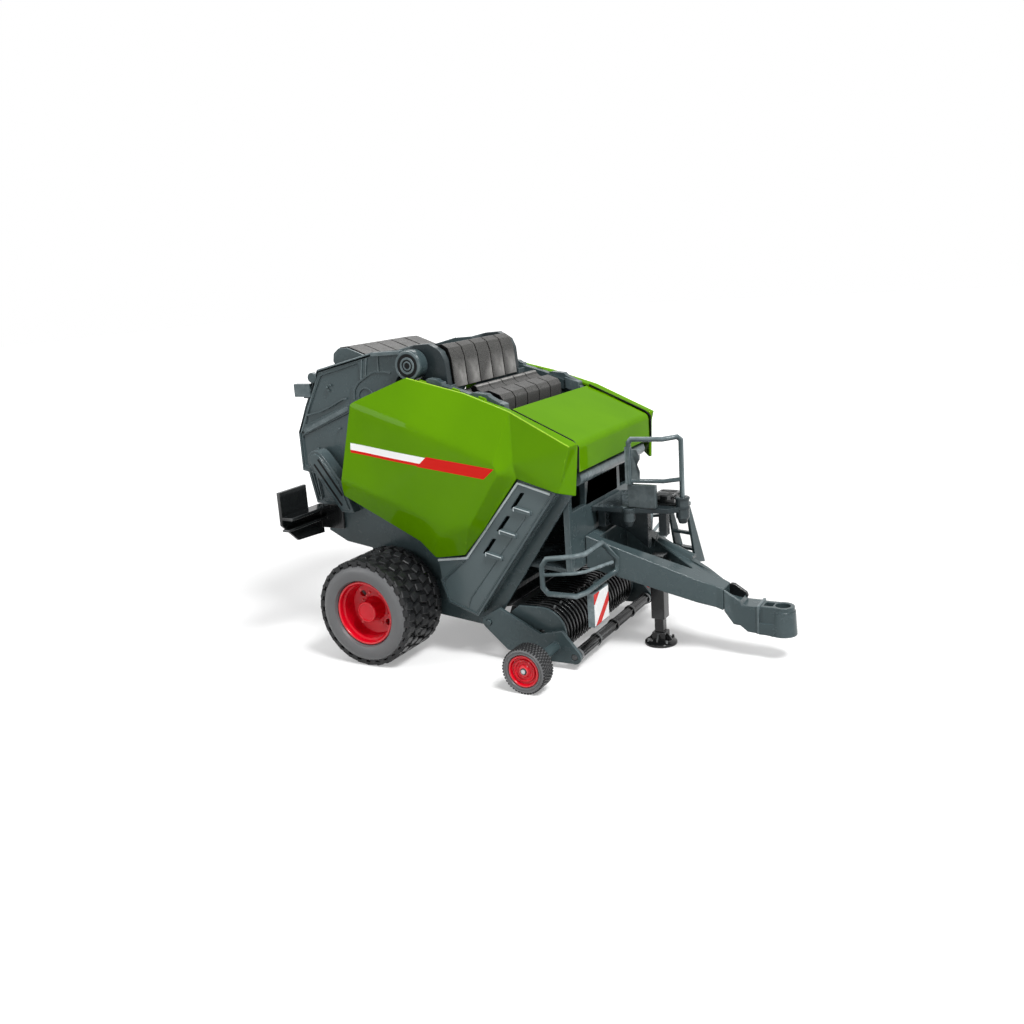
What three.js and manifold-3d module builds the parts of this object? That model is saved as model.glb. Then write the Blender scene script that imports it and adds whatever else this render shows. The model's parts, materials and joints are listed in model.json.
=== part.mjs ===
// A toy round baler at 1:16, shown with its tailgate part open.
// Millimetres. While it is built, X points to the hitch, Y to the left, Z up,
// X = 0 is the main axle and Z = 0 is the ground. The last lines centre it.
import * as THREE from "three";
import { mergeVertices } from "three/addons/utils/BufferGeometryUtils.js";
import Module from "manifold-3d";

const wasm = await Module();
wasm.setup();

// ---- driving dimensions ----
const touchGap = 0.3; // between pieces that rest on each other
const runGap = 0.25; // around a shaft in its bore
const skin = 2; // moulded shells
const plateWall = 2.5; // structural side plates

const wheelRadius = 34;
const wheelWidth = 39.5;
const wheelInnerFace = 57;
const rimRadius = 20.5;
const axleRadius = 3;
const axleBeam = 8;

const guideWheelRadius = 13.7;
const guideWheelWidth = 12;
const guideWheelFace = 89;
const guideRimRadius = 9.6;
const guideWheelX = 112.8;
const guideAxleRadius = 1.8;

const wallFace = 50; // inner face of the fixed chamber walls
const railFace = 49; // inner and outer face of the rails beside the top opening
const railOuterFace = 54.2;
const gateFace = 46.5; // inner face of the tailgate walls
const pivotX = 20.8; // tailgate hinge
const pivotZ = 181.3;
const pivotBossRadius = 9.5;
const pivotBossOuterFace = 55;
const pivotShaftRadius = 2.6;
const chamberX = 14; // centre and radius of the bale chamber, tailgate shut
const chamberZ = 118;
const chamberRadius = 50;
const gateOpen = THREE.MathUtils.degToRad(30); // how far the tailgate stands open

const hoodHalfWidth = 54;
const hoodRearX = 89;
const hoodFrontX = 132.5;
const hoodRearZ = 155;
const hoodFrontZ = 136.2;
const hoodLowerZ = 119.7;
const coverOuterFace = 63.5; // outer face of the lower side covers

const beltHalfWidth = 40;
const rearBeltHalf = 39.5;
const beltCount = 5;
const beltGroove = 1;
const beltWall = 2.4;

const drawbarRootX = 122.6;
const drawbarTipX = 200;
const drawbarRootHalf = 31;
const drawbarTipHalf = 8.5; // where the beams' outer sides aim at, at the tip
const drawbarRootTop = 76;
const drawbarTipTop = 41;
const drawbarRootDepth = 20;
const drawbarTipDepth = 13;
const drawbarPinchX = 186; // where the beams close in on the neck
const drawbarHoleRootX = 127.6; // the open triangle between the beams
const drawbarHoleTipX = 178.4;
const drawbarHoleHalf = 22;

const hitchX = 233.5;
const hitchTop = 32.7;
const hitchHoleRadius = 4.4;
const hitchRingRadius = 6.8;
const hitchCollarRadius = 7.3;
const hitchSkirtRadius = 8.4;
const hitchDepth = 17.5;
const hitchNeckHalf = 7.4;

const jackX = 157;
const jackTube = 8.6;
const jackLeg = 5.8;
const jackWall = 1.2;
const jackTubeBottom = 17;
const jackTubeTop = 58;
const jackCrossBottom = 49; // the plate that holds the tube between the beams
const jackFootRadius = 10.2;
const jackStroke = 8.5;

const pickupPivotX = 68; // hinge of the pick-up
const pickupPivotZ = 24;
const pickupPlateFace = 57; // inner face of the outer plates
const pickupCheekFace = 51; // inner face of the inner cheeks
const reelX = 101;
const reelZ = 18.5;
const bandRadius = 16.5;
const bandWall = 2;
const bandWidth = 1.6;
const bandCount = 24;
const tineRadius = 17.8;
const pressRollerX = 125;
const pressRollerZ = 8.2;
const pressRollerRadius = 3;
const pressCollarRadius = 4;

const deckTop = 91;
const deckWall = 3;
const carrierX = -61; // rear face of the light carriers
const carrierWall = 2;
const carrierTop = 91;
const carrierReach = 93;
const guardX = 137.5; // front bars of the two guards
const frontBossAt = [176, -7]; // where the railing's front post stands
const railTop = 132.5;
const ladderAlong = 144; // along the drawbar's beam
const ladderWidth = 16;
const ladderWall = 1.8;
const ladderTopReach = 63; // outwards from the beam's line
const ladderFootReach = 80.5;
const ladderFoot = 45.5;
const railRadius = 1.5;
const cabinetTop = 105.2;
const toolboxTop = 98;

// ---- materials ----
const plastic = (color, roughness) => new THREE.MeshStandardMaterial({ color, roughness, metalness: 0 });
const green = plastic(0x5f9e10, 0.3);
const slate = plastic(0x4a555b, 0.5);
const black = plastic(0x17181a, 0.35);
const beltBlack = plastic(0x47443f, 0.6);
const red = plastic(0xc8102e, 0.3);
const tyreRubber = plastic(0x2c2d2e, 0.8);
const steel = new THREE.MeshStandardMaterial({ color: 0xb9bcc0, roughness: 0.35, metalness: 1 });

// ---- solids ----
function solid(geometry) {
  const bare = new THREE.BufferGeometry();
  bare.setAttribute("position", geometry.getAttribute("position"));
  if (geometry.index) bare.setIndex(geometry.index);
  const merged = mergeVertices(bare, 1e-4);
  return new wasm.Manifold(
    new wasm.Mesh({
      numProp: 3,
      vertProperties: merged.attributes.position.array,
      triVerts: new Uint32Array(merged.index.array),
    }),
  );
}

function geometryOf(body) {
  const mesh = body.getMesh();
  const geometry = new THREE.BufferGeometry();
  geometry.setAttribute("position", new THREE.BufferAttribute(mesh.vertProperties, 3));
  geometry.setIndex(new THREE.BufferAttribute(mesh.triVerts, 1));
  geometry.computeVertexNormals();
  return geometry;
}

function box(x0, x1, y0, y1, z0, z1) {
  const geometry = new THREE.BoxGeometry(x1 - x0, y1 - y0, z1 - z0);
  return solid(geometry.translate((x0 + x1) / 2, (y0 + y1) / 2, (z0 + z1) / 2));
}

function shapeOf(points) {
  return new THREE.Shape(points.map(([u, v]) => new THREE.Vector2(u, v)));
}

// An outline in X and Z, extruded from y0 to y1.
function plate(points, y0, y1) {
  const geometry = new THREE.ExtrudeGeometry(shapeOf(points), { depth: y1 - y0, bevelEnabled: false });
  return solid(geometry.rotateX(Math.PI / 2).translate(0, y1, 0));
}

// An outline in X and Y, extruded from z0 to z1.
function slab(points, z0, z1) {
  const geometry = new THREE.ExtrudeGeometry(shapeOf(points), { depth: z1 - z0, bevelEnabled: false });
  return solid(geometry.translate(0, 0, z0));
}

// A profile of (radius, y) turned about the Y direction through (x, z).
function turned(profile, x, z, segments = 32) {
  const area = THREE.ShapeUtils.area(profile.map(([r, y]) => ({ x: r, y })));
  const ordered = area > 0 ? profile : [...profile].reverse();
  const points = [...ordered, ordered[0]].map(([r, y]) => new THREE.Vector2(r, y));
  return solid(new THREE.LatheGeometry(points, segments).translate(x, 0, z));
}

// A round bar along Y through (x, z).
function bar(x, z, radius, y0, y1, segments = 24) {
  const geometry = new THREE.CylinderGeometry(radius, radius, y1 - y0, segments);
  return solid(geometry.translate(x, (y0 + y1) / 2, z));
}

// A round post along Z through (x, y).
function post(x, y, radius, z0, z1, segments = 24) {
  const geometry = new THREE.CylinderGeometry(radius, radius, z1 - z0, segments);
  return solid(geometry.rotateX(Math.PI / 2).translate(x, y, (z0 + z1) / 2));
}

// A round pipe through the points, mitred at each bend. A closed one ends where it starts.
function pipe(points, radius, sides = 10, closed = false) {
  const at = points.map((point) => new THREE.Vector3(...point));
  const count = at.length;
  const towards = (i) => at[(i + 1) % count].clone().sub(at[i % count]).normalize();
  const spoke = new THREE.Vector3(0.31, 0.45, 0.84).cross(towards(0)).normalize();
  let ring = [];
  for (let i = 0; i < sides; i += 1) {
    const around = spoke.clone().applyAxisAngle(towards(0), (2 * Math.PI * i) / sides);
    ring.push(at[0].clone().addScaledVector(around, radius));
  }
  // Slides a ring along one direction onto the plane through a point.
  const slide = (from, point, along, normal) =>
    from.map((corner) => {
      const reach = point.clone().sub(corner).dot(normal) / along.dot(normal);
      return corner.clone().addScaledVector(along, reach);
    });
  const bisector = (i) => towards(i + count - 1).add(towards(i)).normalize();
  if (closed) ring = slide(ring, at[0], towards(0), bisector(0));
  const rings = [ring];
  for (let i = 1; i < count; i += 1) {
    const last = !closed && i === count - 1;
    ring = slide(ring, at[i], towards(i - 1), last ? towards(i - 1) : bisector(i));
    rings.push(ring);
  }
  const position = rings.flat().flatMap((corner) => corner.toArray());
  const index = [];
  const join = (a, b, turn) => {
    for (let i = 0; i < sides; i += 1) {
      const j = (i + 1) % sides;
      const far = (k) => b * sides + ((k + turn) % sides);
      index.push(a * sides + i, a * sides + j, far(i), a * sides + j, far(j), far(i));
    }
  };
  for (let i = 0; i + 1 < count; i += 1) join(i, i + 1, 0);
  if (closed) {
    const home = slide(ring, at[0], towards(count - 1), bisector(0))[0];
    const misses = rings[0].map((corner) => corner.distanceTo(home));
    join(count - 1, 0, misses.indexOf(Math.min(...misses)));
  } else {
    for (let i = 1; i + 1 < sides; i += 1) {
      const end = (count - 1) * sides;
      index.push(0, i + 1, i, end, end + i, end + i + 1);
    }
  }
  const geometry = new THREE.BufferGeometry();
  geometry.setAttribute("position", new THREE.Float32BufferAttribute(position, 3));
  geometry.setIndex(index);
  return solid(geometry);
}

// Points of an arc from one angle to another, in degrees.
function arc(x, z, radius, from, to, steps) {
  const points = [];
  for (let i = 0; i <= steps; i += 1) {
    const angle = THREE.MathUtils.degToRad(from + ((to - from) * i) / steps);
    points.push([x + radius * Math.cos(angle), z + radius * Math.sin(angle)]);
  }
  return points;
}

// The outline moved inwards by a distance, corner by corner. It runs anticlockwise.
function inset(points, distance) {
  return points.map((point, i) => {
    const before = points[(i + points.length - 1) % points.length];
    const after = points[(i + 1) % points.length];
    const edge = (a, b) => new THREE.Vector2(b[0] - a[0], b[1] - a[1]).normalize();
    const a = edge(before, point);
    const b = edge(point, after);
    const turn = 1 + a.dot(b);
    return [point[0] - (distance * (a.y + b.y)) / turn, point[1] + (distance * (a.x + b.x)) / turn];
  });
}

function curvedSheet(x, z, radius, wall, from, to, y0, y1, steps = 14) {
  const outline = [...arc(x, z, radius, from, to, steps), ...arc(x, z, radius + wall, to, from, steps)];
  return plate(outline, y0, y1);
}

// Extent in Y of something between |y| = a and |y| = b on one side; right is -1.
function span(side, a, b) {
  return side < 0 ? [-b, -a] : [a, b];
}

function turnedOpen([x, z]) {
  const dx = x - pivotX;
  const dz = z - pivotZ;
  const c = Math.cos(gateOpen);
  const s = Math.sin(gateOpen);
  return [pivotX + dx * c + dz * s, pivotZ - dx * s + dz * c];
}

const sides = { right: -1, left: 1 };
const model = new THREE.Group();

function put(name, body, material, parent = model) {
  const mesh = new THREE.Mesh(geometryOf(body), material);
  mesh.name = name;
  parent.add(mesh);
}

// ---- fixed body ----
const wallOutline = [
  [-55, 73],
  [-41, 66],
  [-21, 63],
  [-13, 27],
  [62, 19],
  [73, 19],
  [74, 29],
  [112.5, 86],
  [126, 106],
  [128, 132.5],
  [91, 148.5],
  [60, 159],
  [33, 167],
  [10, 167],
  [2, 150],
  [-8, 120],
  [-27, 98],
  [-41, 95],
  [-50, 93],
];

function chamberWall(side) {
  const [y0, y1] = span(side, wallFace, wallFace + plateWall);
  const reach = axleBeam / 2 + touchGap;
  const axleHole = box(-reach, reach, y0 - 1, y1 + 1, wheelRadius - reach, wheelRadius + reach);
  const [p0, p1] = span(side, wallFace, pickupPlateFace + plateWall + 1);
  const pin = bar(pickupPivotX, pickupPivotZ, guideAxleRadius, p0, p1, 16);
  const wall = plate(wallOutline, y0, y1).subtract(axleHole);
  return wall.add(pin).add(topRail(side)).add(rearGuide(side));
}

function topRail(side) {
  const [y0, y1] = span(side, railFace, railOuterFace);
  const outline = [
    [33, 166],
    [60, 158],
    [88.6, 148.3],
    [88.6, 153.6],
    [86, 155.5],
    [60, 165.2],
    [33, 173],
  ];
  const [c0, c1] = span(side, railFace - 1, railOuterFace);
  const clip = plate([[76, 154], [86, 150.6], [86, 158], [76, 161.5]], c0, c1);
  return plate(outline, y0, y1).add(clip);
}

// A moulded side panel: outer surface points, each with its own distance from the middle.
const panelPoints = {
  peakIn: [19, 56.4, 174],
  topIn: [60, 55.4, 165.3],
  hoodIn: [91, 55.4, 155.5],
  frontIn: [133.8, 57.5, 136.9],
  frontLow: [131.8, 59.5, 106.8],
  sideLow: [124, 67, 109.5],
  notch: [97.5, 65.5, 116.6],
  bayFront: [58.8, 66, 68],
  bayRear: [37.5, 66, 64.5],
  skirt: [27, 67, 75],
  heel: [-25, 71, 102],
  rearLow: [-23, 75, 113],
  rearTop: [-14, 70, 160.5],
  peak: [21.5, 59, 174.6],
  topRidge: [62, 59.5, 165.4],
  hoodRidge: [93, 62, 155.2],
  frontRidge: [131.9, 65.7, 136.4],
  creaseRear: [25, 73.5, 149],
  creaseMid: [59, 74.5, 137.5],
  creaseEnd: [87, 74.5, 127],
  bulgeTop: [90, 74.5, 121],
  bulgeLow: [68, 75, 88],
  bulgeToe: [45, 74, 80],
  bandFront: [38, 75, 91],
  bandMid: [9, 76, 102.5],
  flatTop: [96, 67, 126],
  flatMid: [95.5, 67, 119],
  flatLow: [73, 67, 84],
};
const panelRim = [
  "peakIn", "topIn", "hoodIn", "frontIn", "frontLow", "sideLow", "notch",
  "bayFront", "bayRear", "skirt", "heel", "rearLow", "rearTop",
];
const panelFaces = [
  "peakIn topIn topRidge", "peakIn topRidge peak", "topIn hoodIn hoodRidge", "topIn hoodRidge topRidge",
  "hoodIn frontIn frontRidge", "hoodIn frontRidge hoodRidge", "frontIn frontLow sideLow",
  "frontIn sideLow frontRidge", "peakIn peak rearTop", "peak creaseRear rearTop", "peak topRidge creaseRear",
  "topRidge creaseMid creaseRear", "topRidge hoodRidge creaseMid", "hoodRidge creaseEnd creaseMid",
  "hoodRidge flatTop creaseEnd", "hoodRidge frontRidge flatTop", "frontRidge sideLow flatTop",
  "sideLow notch flatTop", "flatTop notch flatMid", "flatTop flatMid bulgeTop", "flatTop bulgeTop creaseEnd",
  "flatMid notch flatLow", "flatMid flatLow bulgeTop", "flatLow bulgeLow bulgeTop", "notch bayFront flatLow",
  "flatLow bayFront bulgeLow", "bulgeLow bayFront bulgeToe", "bulgeToe bayFront bayRear",
  "bulgeToe bayRear skirt", "bulgeToe skirt bandFront", "bandFront skirt bandMid", "bandMid skirt heel",
  "bandMid heel rearLow", "rearTop bandMid rearLow", "rearTop creaseRear bandMid",
  "creaseRear creaseMid bandMid", "creaseMid bandFront bandMid", "creaseMid creaseEnd bandFront",
  "creaseEnd bulgeTop bulgeLow", "creaseEnd bulgeLow bandFront", "bulgeLow bulgeToe bandFront",
];

// The inner surface lies one skin behind each outer point, along the mean of its faces' normals.
function sidePanel(side) {
  const names = Object.keys(panelPoints);
  const outer = names.map((name) => new THREE.Vector3(...panelPoints[name]));
  const normals = outer.map(() => new THREE.Vector3());
  const faces = panelFaces.map((words) => words.split(" ").map((name) => names.indexOf(name)));
  for (const [a, b, c] of faces) {
    const normal = outer[b].clone().sub(outer[a]).cross(outer[c].clone().sub(outer[a])).normalize();
    for (const corner of [a, b, c]) normals[corner].add(normal);
  }
  const inner = outer.map((point, i) => point.clone().addScaledVector(normals[i].normalize(), -skin));
  const position = [...outer, ...inner].flatMap(({ x, y, z }) => [x, side * y, z]);
  const count = names.length;
  const index = [];
  const face = (a, b, c) => index.push(...(side < 0 ? [a, c, b] : [a, b, c]));
  for (const [a, b, c] of faces) {
    face(a, b, c);
    face(a + count, c + count, b + count);
  }
  panelRim.forEach((name, i) => {
    const a = names.indexOf(name);
    const b = names.indexOf(panelRim[(i + 1) % panelRim.length]);
    face(a, a + count, b);
    face(b, a + count, b + count);
  });
  const geometry = new THREE.BufferGeometry();
  geometry.setAttribute("position", new THREE.Float32BufferAttribute(position, 3));
  geometry.setIndex(index);
  return solid(geometry);
}

function hood() {
  const outline = [
    [hoodRearX, hoodRearZ - skin],
    [hoodFrontX - 5.2, hoodFrontZ + 0.2],
    [hoodFrontX - skin, hoodFrontZ - 4],
    [hoodFrontX - skin, hoodLowerZ],
    [hoodFrontX, hoodLowerZ],
    [hoodFrontX, hoodFrontZ - 3],
    [hoodFrontX - 3.5, hoodFrontZ + 1.4],
    [hoodRearX, hoodRearZ],
  ];
  return plate(outline, -hoodHalfWidth, hoodHalfWidth);
}

const coverOutline = [
  [97, 116],
  [57.6, 67.3],
  [37.5, 50],
  [42, 35.5],
  [63, 28.5],
  [121, 109],
];

function sideCover(side) {
  const inner = wallFace + plateWall + touchGap;
  const [y0, y1] = span(side, inner, coverOuterFace);
  const hollow = plate(inset(coverOutline, skin), ...span(side, inner - 1, coverOuterFace - skin));
  let body = plate(coverOutline, y0, y1).subtract(hollow);
  for (let step = 0; step < 3; step += 1) {
    const x = 99 - step * 10.5;
    const z = 101.5 - step * 14.5;
    const slot = [[x - 8.5, z - 3.5], [x - 6, z - 3.5], [x + 1.5, z + 6.5], [x - 1, z + 6.5]];
    body = body.subtract(plate(slot, ...span(side, coverOuterFace - skin - 1, coverOuterFace + 1)));
    const tread = [[x - 5.5, z - 4.5], [x + 5.5, z - 6.5], [x + 5.5, z - 4], [x - 5.5, z - 1.5]];
    body = body.add(plate(tread, ...span(side, coverOuterFace - 0.5, coverOuterFace + 2)));
  }
  return body;
}

function frontFrame() {
  const half = wallFace - touchGap;
  let body = box(118, 122, -half, half, 57, 112);
  for (const middle of [-36, -12, 12, 36]) {
    body = body.subtract(box(117, 123, middle - 9.5, middle + 9.5, 93.5, 108));
  }
  const beam = plate(arc(126.5, 114.5, 4.5, 0, 330, 11), -half, half);
  return body.add(beam).add(box(120, 126, -half, half, 110, 113.5));
}

function intakeRoof() {
  const half = wallFace - touchGap;
  const outline = [[117.7, 57], [117.7, 59.5], [86, 62.5], [57.5, 86.5], [55.7, 84.6], [84.8, 60.2]];
  return plate(outline, -half, half);
}

function intakeFloor() {
  const half = wallFace - touchGap;
  const outline = [
    [60, 21], [62, 32], [36, 40.5], [26, 56], [23.6, 55.2], [34.2, 38.4], [58, 30.6], [57, 21],
  ];
  return plate(outline, -half, half);
}

function frontBelts() {
  const half = wallFace - touchGap;
  return curvedSheet(chamberX, chamberZ, chamberRadius, 2, -36, 60, -half, half);
}

// A ribbed block of belts over a profile, cut by the grooves between the belts.
function beltBlock(outline, half = beltHalfWidth) {
  const hollow = plate(inset(outline, beltWall), -half - 1, half + 1);
  let body = plate(outline, -half, half).subtract(hollow).subtract(hollow.translate(0, 0, -2 * beltWall));
  const pitch = (2 * half) / beltCount;
  const middle = inset(outline, 1.2);
  for (let i = 1; i < beltCount; i += 1) {
    const y = -half + i * pitch;
    const ring = plate(inset(outline, -1), y - beltGroove / 2, y + beltGroove / 2);
    body = body.subtract(ring.subtract(plate(middle, y - beltGroove, y + beltGroove)));
  }
  return body;
}

const upperBelts = beltBlock([
  [44.5, 166], [43, 184], [41, 190], [37, 192.5], [33, 192], [28.5, 187], [31, 180], [36, 166],
]);
const lowerBelts = beltBlock([
  [63, 156], [66, 150.5], [76, 149.5], [77.2, 153], [77.2, 158.5], [75, 161.7], [68, 164.3], [64, 163.4],
]);

const shaftEnd = railFace - 1 - touchGap;
const lowerShaft = bar(71, 154.2, 1.8, -shaftEnd, shaftEnd, 12);
const lowerDisc = plate([[68, 152.5], [75, 151.5], [75, 159.5], [68, 162]], -1, 1);
const idler = bar(57.6, 165.4, 2.1, -beltHalfWidth, beltHalfWidth, 12);
const idlerOutline = [[57, 163.6], [64.6, 160.2], [64.6, 162], [58, 166.4]];
const idlerBelt = plate(idlerOutline, -beltHalfWidth, beltHalfWidth);
const lowerBlock = lowerBelts.add(lowerShaft).add(idler).add(idlerBelt)
  .add(lowerDisc.translate(0, -25, 0)).add(lowerDisc.translate(0, 25, 0));

// Two cheeks that carry the upper belts and the shaft that the tailgate turns on.
function pivotFrame() {
  const outline = [
    [43.5, 165], [42, 183], [39.5, 188.5], [36, 190.8], [31, 193.5], [21, 193], [9, 190.6],
    ...arc(pivotX, pivotZ, 5.5, 130, 270, 6),
    [30, 172], [34.5, 165],
  ];
  const shaftEnd = pivotBossOuterFace - 1;
  let body = bar(pivotX, pivotZ, pivotShaftRadius, -shaftEnd, shaftEnd, 20);
  for (const side of [-1, 1]) {
    const start = beltHalfWidth + touchGap;
    const foot = box(33.5, 46, ...span(side, start, railFace - touchGap), 165, 168.5);
    body = body.add(plate(outline, ...span(side, start, gateFace - 0.7))).add(foot);
  }
  return body;
}

// Half widths of the drawbar's outer sides and of its opening at x.
function drawbarSideAt(x) {
  const share = (x - drawbarRootX) / (drawbarTipX - drawbarRootX);
  return drawbarRootHalf + share * (drawbarTipHalf - drawbarRootHalf);
}

function drawbarHoleAt(x) {
  return (drawbarHoleHalf * (drawbarHoleTipX - x)) / (drawbarHoleTipX - drawbarHoleRootX);
}

function drawbar() {
  const tipHalf = hitchNeckHalf + 0.2;
  const pinchHalf = drawbarSideAt(drawbarPinchX);
  const pinchEnd = drawbarTipX - 4;
  const plan = [
    [drawbarRootX, -drawbarRootHalf], [drawbarPinchX, -pinchHalf], [pinchEnd, -tipHalf],
    [drawbarTipX, -tipHalf], [drawbarTipX, tipHalf], [pinchEnd, tipHalf], [drawbarPinchX, pinchHalf],
    [drawbarRootX, drawbarRootHalf],
  ];
  const hole = [
    [drawbarHoleRootX, -drawbarHoleHalf],
    [drawbarHoleTipX, -0.5],
    [drawbarHoleTipX, 0.5],
    [drawbarHoleRootX, drawbarHoleHalf],
  ];
  const high = drawbarRootTop + 20; // above and below the whole drawbar
  const low = -20;
  const profile = (down, below) => [
    [drawbarRootX - 1, drawbarRootTop - drawbarRootDepth - below],
    [drawbarTipX + 1, drawbarTipTop - drawbarTipDepth - below],
    [drawbarTipX + 1, drawbarTipTop - down],
    [drawbarRootX - 1, drawbarRootTop - down],
  ];
  const outer = slab(plan, low, high)
    .subtract(slab(hole, low, high))
    .intersect(plate(profile(0, 0), -drawbarRootHalf, drawbarRootHalf));
  const core = slab(inset(plan, skin), low, high)
    .subtract(slab(inset(hole, -skin), low, high))
    .intersect(plate(profile(skin + 0.5, 10), -drawbarRootHalf, drawbarRootHalf));
  const tube = pipe([[151, 15.8, 61.2], [175, 12.6, 52.6]], 3.6, 14);
  return outer.subtract(core).add(tube);
}

function hitch() {
  const start = drawbarTipX + touchGap;
  const low = hitchTop - hitchDepth;
  const neckOutline = [
    [start, drawbarTipTop - drawbarTipDepth], [start + 5.7, low + 5.1], [start + 9.7, low + 4.8],
    [start + 14.1, low + 1.4], [start + 19.7, low + 1], [hitchX - 2, low], [hitchX - 2, hitchTop],
    [start + 10.5, hitchTop], [start + 9.5, hitchTop + 2.8], [start, drawbarTipTop],
  ];
  const neck = plate(neckOutline, -hitchNeckHalf, hitchNeckHalf);
  const channel = plate(
    [[start - 1, drawbarTipTop - 6], [start + 9.5, hitchTop], [start + 9.5, 60], [start - 1, 60]],
    -hitchNeckHalf + skin,
    hitchNeckHalf - skin,
  );
  const collarHalf = hitchNeckHalf + 0.6;
  const collarEnd = start + 21.3;
  const collar = box(collarEnd - 1.8, collarEnd, -collarHalf, collarHalf, low + 1, hitchTop + 0.8);
  const waistHalf = hitchRingRadius - 0.6;
  const waist = (side) => box(collarEnd, hitchX - 2, ...span(side, waistHalf, 20), low + 7.5, 60);
  const profile = [
    [0, low], [hitchSkirtRadius, low], [hitchCollarRadius, hitchTop - 2.6], [hitchRingRadius, hitchTop - 2.6],
    [hitchRingRadius, hitchTop], [0, hitchTop],
  ];
  const ring = new THREE.LatheGeometry(profile.map(([r, z]) => new THREE.Vector2(r, z)), 28);
  const slot = box(start + 22.6, hitchX - hitchHoleRadius - 1, -3.2, 3.2, hitchTop - 9, hitchTop + 1);
  const bore = post(hitchX, 0, hitchHoleRadius, low - 1, hitchTop + 1, 24);
  const body = neck.subtract(channel).subtract(waist(-1)).subtract(waist(1)).add(collar);
  return body.add(solid(ring.rotateX(Math.PI / 2).translate(hitchX, 0, 0))).subtract(slot).subtract(bore);
}

function jackBracket() {
  const inner = (x) => drawbarHoleAt(x) - touchGap;
  const rear = jackX - 6;
  const front = jackX + 6;
  const half = jackTube / 2;
  const tube = box(jackX - half, jackX + half, -half, half, jackTubeBottom, jackTubeTop);
  const bore = half - jackWall;
  const cavity = box(jackX - bore, jackX + bore, -bore, bore, jackTubeBottom - 1, jackTubeTop - jackWall);
  const cross = slab(
    [[rear, -inner(rear)], [front, -inner(front)], [front, inner(front)], [rear, inner(rear)]],
    jackCrossBottom,
    jackCrossBottom + 4,
  );
  return tube.add(cross).subtract(cavity);
}

function jackLegAndFoot() {
  const half = jackLeg / 2;
  const leg = box(jackX - half, jackX + half, -half, half, 2, jackTubeTop - jackWall - jackStroke - 2);
  const profile = [[0, 0], [jackFootRadius, 0], [jackFootRadius, 1.6], [8, 3], [4.5, 3.2], [0, 3.2]];
  const disc = new THREE.LatheGeometry(profile.map(([r, z]) => new THREE.Vector2(r, z)), 28);
  const collar = box(jackX - half - 1.4, jackX + half + 1.4, -half - 1.4, half + 1.4, 2, 8);
  return solid(disc.rotateX(Math.PI / 2).translate(jackX, 0, 0)).add(collar).add(leg);
}

// ---- platform in front of the hood ----
const deckOutline = [
  [122.5, -19],
  [146, -19.5],
  [170, -16],
  [177, -9],
  [176, -3],
  [163, 21],
  [152, 27],
  [122.5, 27],
];

function platform() {
  const under = deckTop - deckWall + 1; // where the stays run up into the deck
  const deck = slab(deckOutline, deckTop - deckWall, deckTop);
  const rearBoss = post(146.5, -18.5, 3.6, deckTop - 8, deckTop, 20);
  const [bossX, bossY] = frontBossAt;
  const frontBoss = post(bossX, bossY, 4, deckTop - 7, deckTop + 6, 20);
  const gusset = plate([[126, 76.5], [137, 73.5], [152, 62], [152, under], [126, under]], -3, 3);
  const frontPost = box(159, 164, -3, 3, 70.6, under);
  const rearStrut = box(124, 129, -14, -8, 77, under);
  const farStrut = box(124, 129, 8, 14, 77, under);
  const bore = post(bossX, bossY, railRadius + touchGap, deckTop - 4, deckTop + 7, 14);
  const stays = gusset.add(frontPost).add(rearStrut).add(farStrut);
  return deck.add(stays).add(rearBoss).add(frontBoss).subtract(bore);
}

function railing() {
  const foot = deckTop + 14.5;
  const top = pipe(
    [[147.2, -17.5, foot], [147.2, -17.5, railTop - 2], [149, -17.5, railTop], [167.5, -15, railTop],
      [174.5, -9, railTop + 0.6], [176, -7, railTop - 1.5], [176, -7, deckTop - 2]],
    railRadius,
  );
  const middle = pipe([[147.2, -17.5, 107.5], [167.5, -15, 107.5], [176, -7, 107.5]], railRadius * 0.85);
  const flat = box(145, 148.6, -18.6, -16.4, foot, 128);
  return top.add(middle).add(flat);
}

function cabinet() {
  return box(145.7, 163.3, -18, -14.5, deckTop + touchGap, cabinetTop);
}

function toolbox() {
  const [x0, x1] = [159, 171];
  const [y0, y1] = [-8, 4];
  const middle = (y0 + y1) / 2;
  const lidTop = toolboxTop;
  const lidBottom = lidTop - 1.6;
  const edge = 0.5; // how far the lids stand out
  const body = box(x0, x1, y0, y1, deckTop + touchGap, lidBottom);
  const nearLid = box(x0 - edge, x1 + edge, y0 - edge, middle - touchGap, lidBottom, lidTop);
  const farLid = box(x0 - edge, x1 + edge, middle + touchGap, y1 + edge, lidBottom, lidTop);
  return body.add(nearLid).add(farLid);
}

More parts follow.
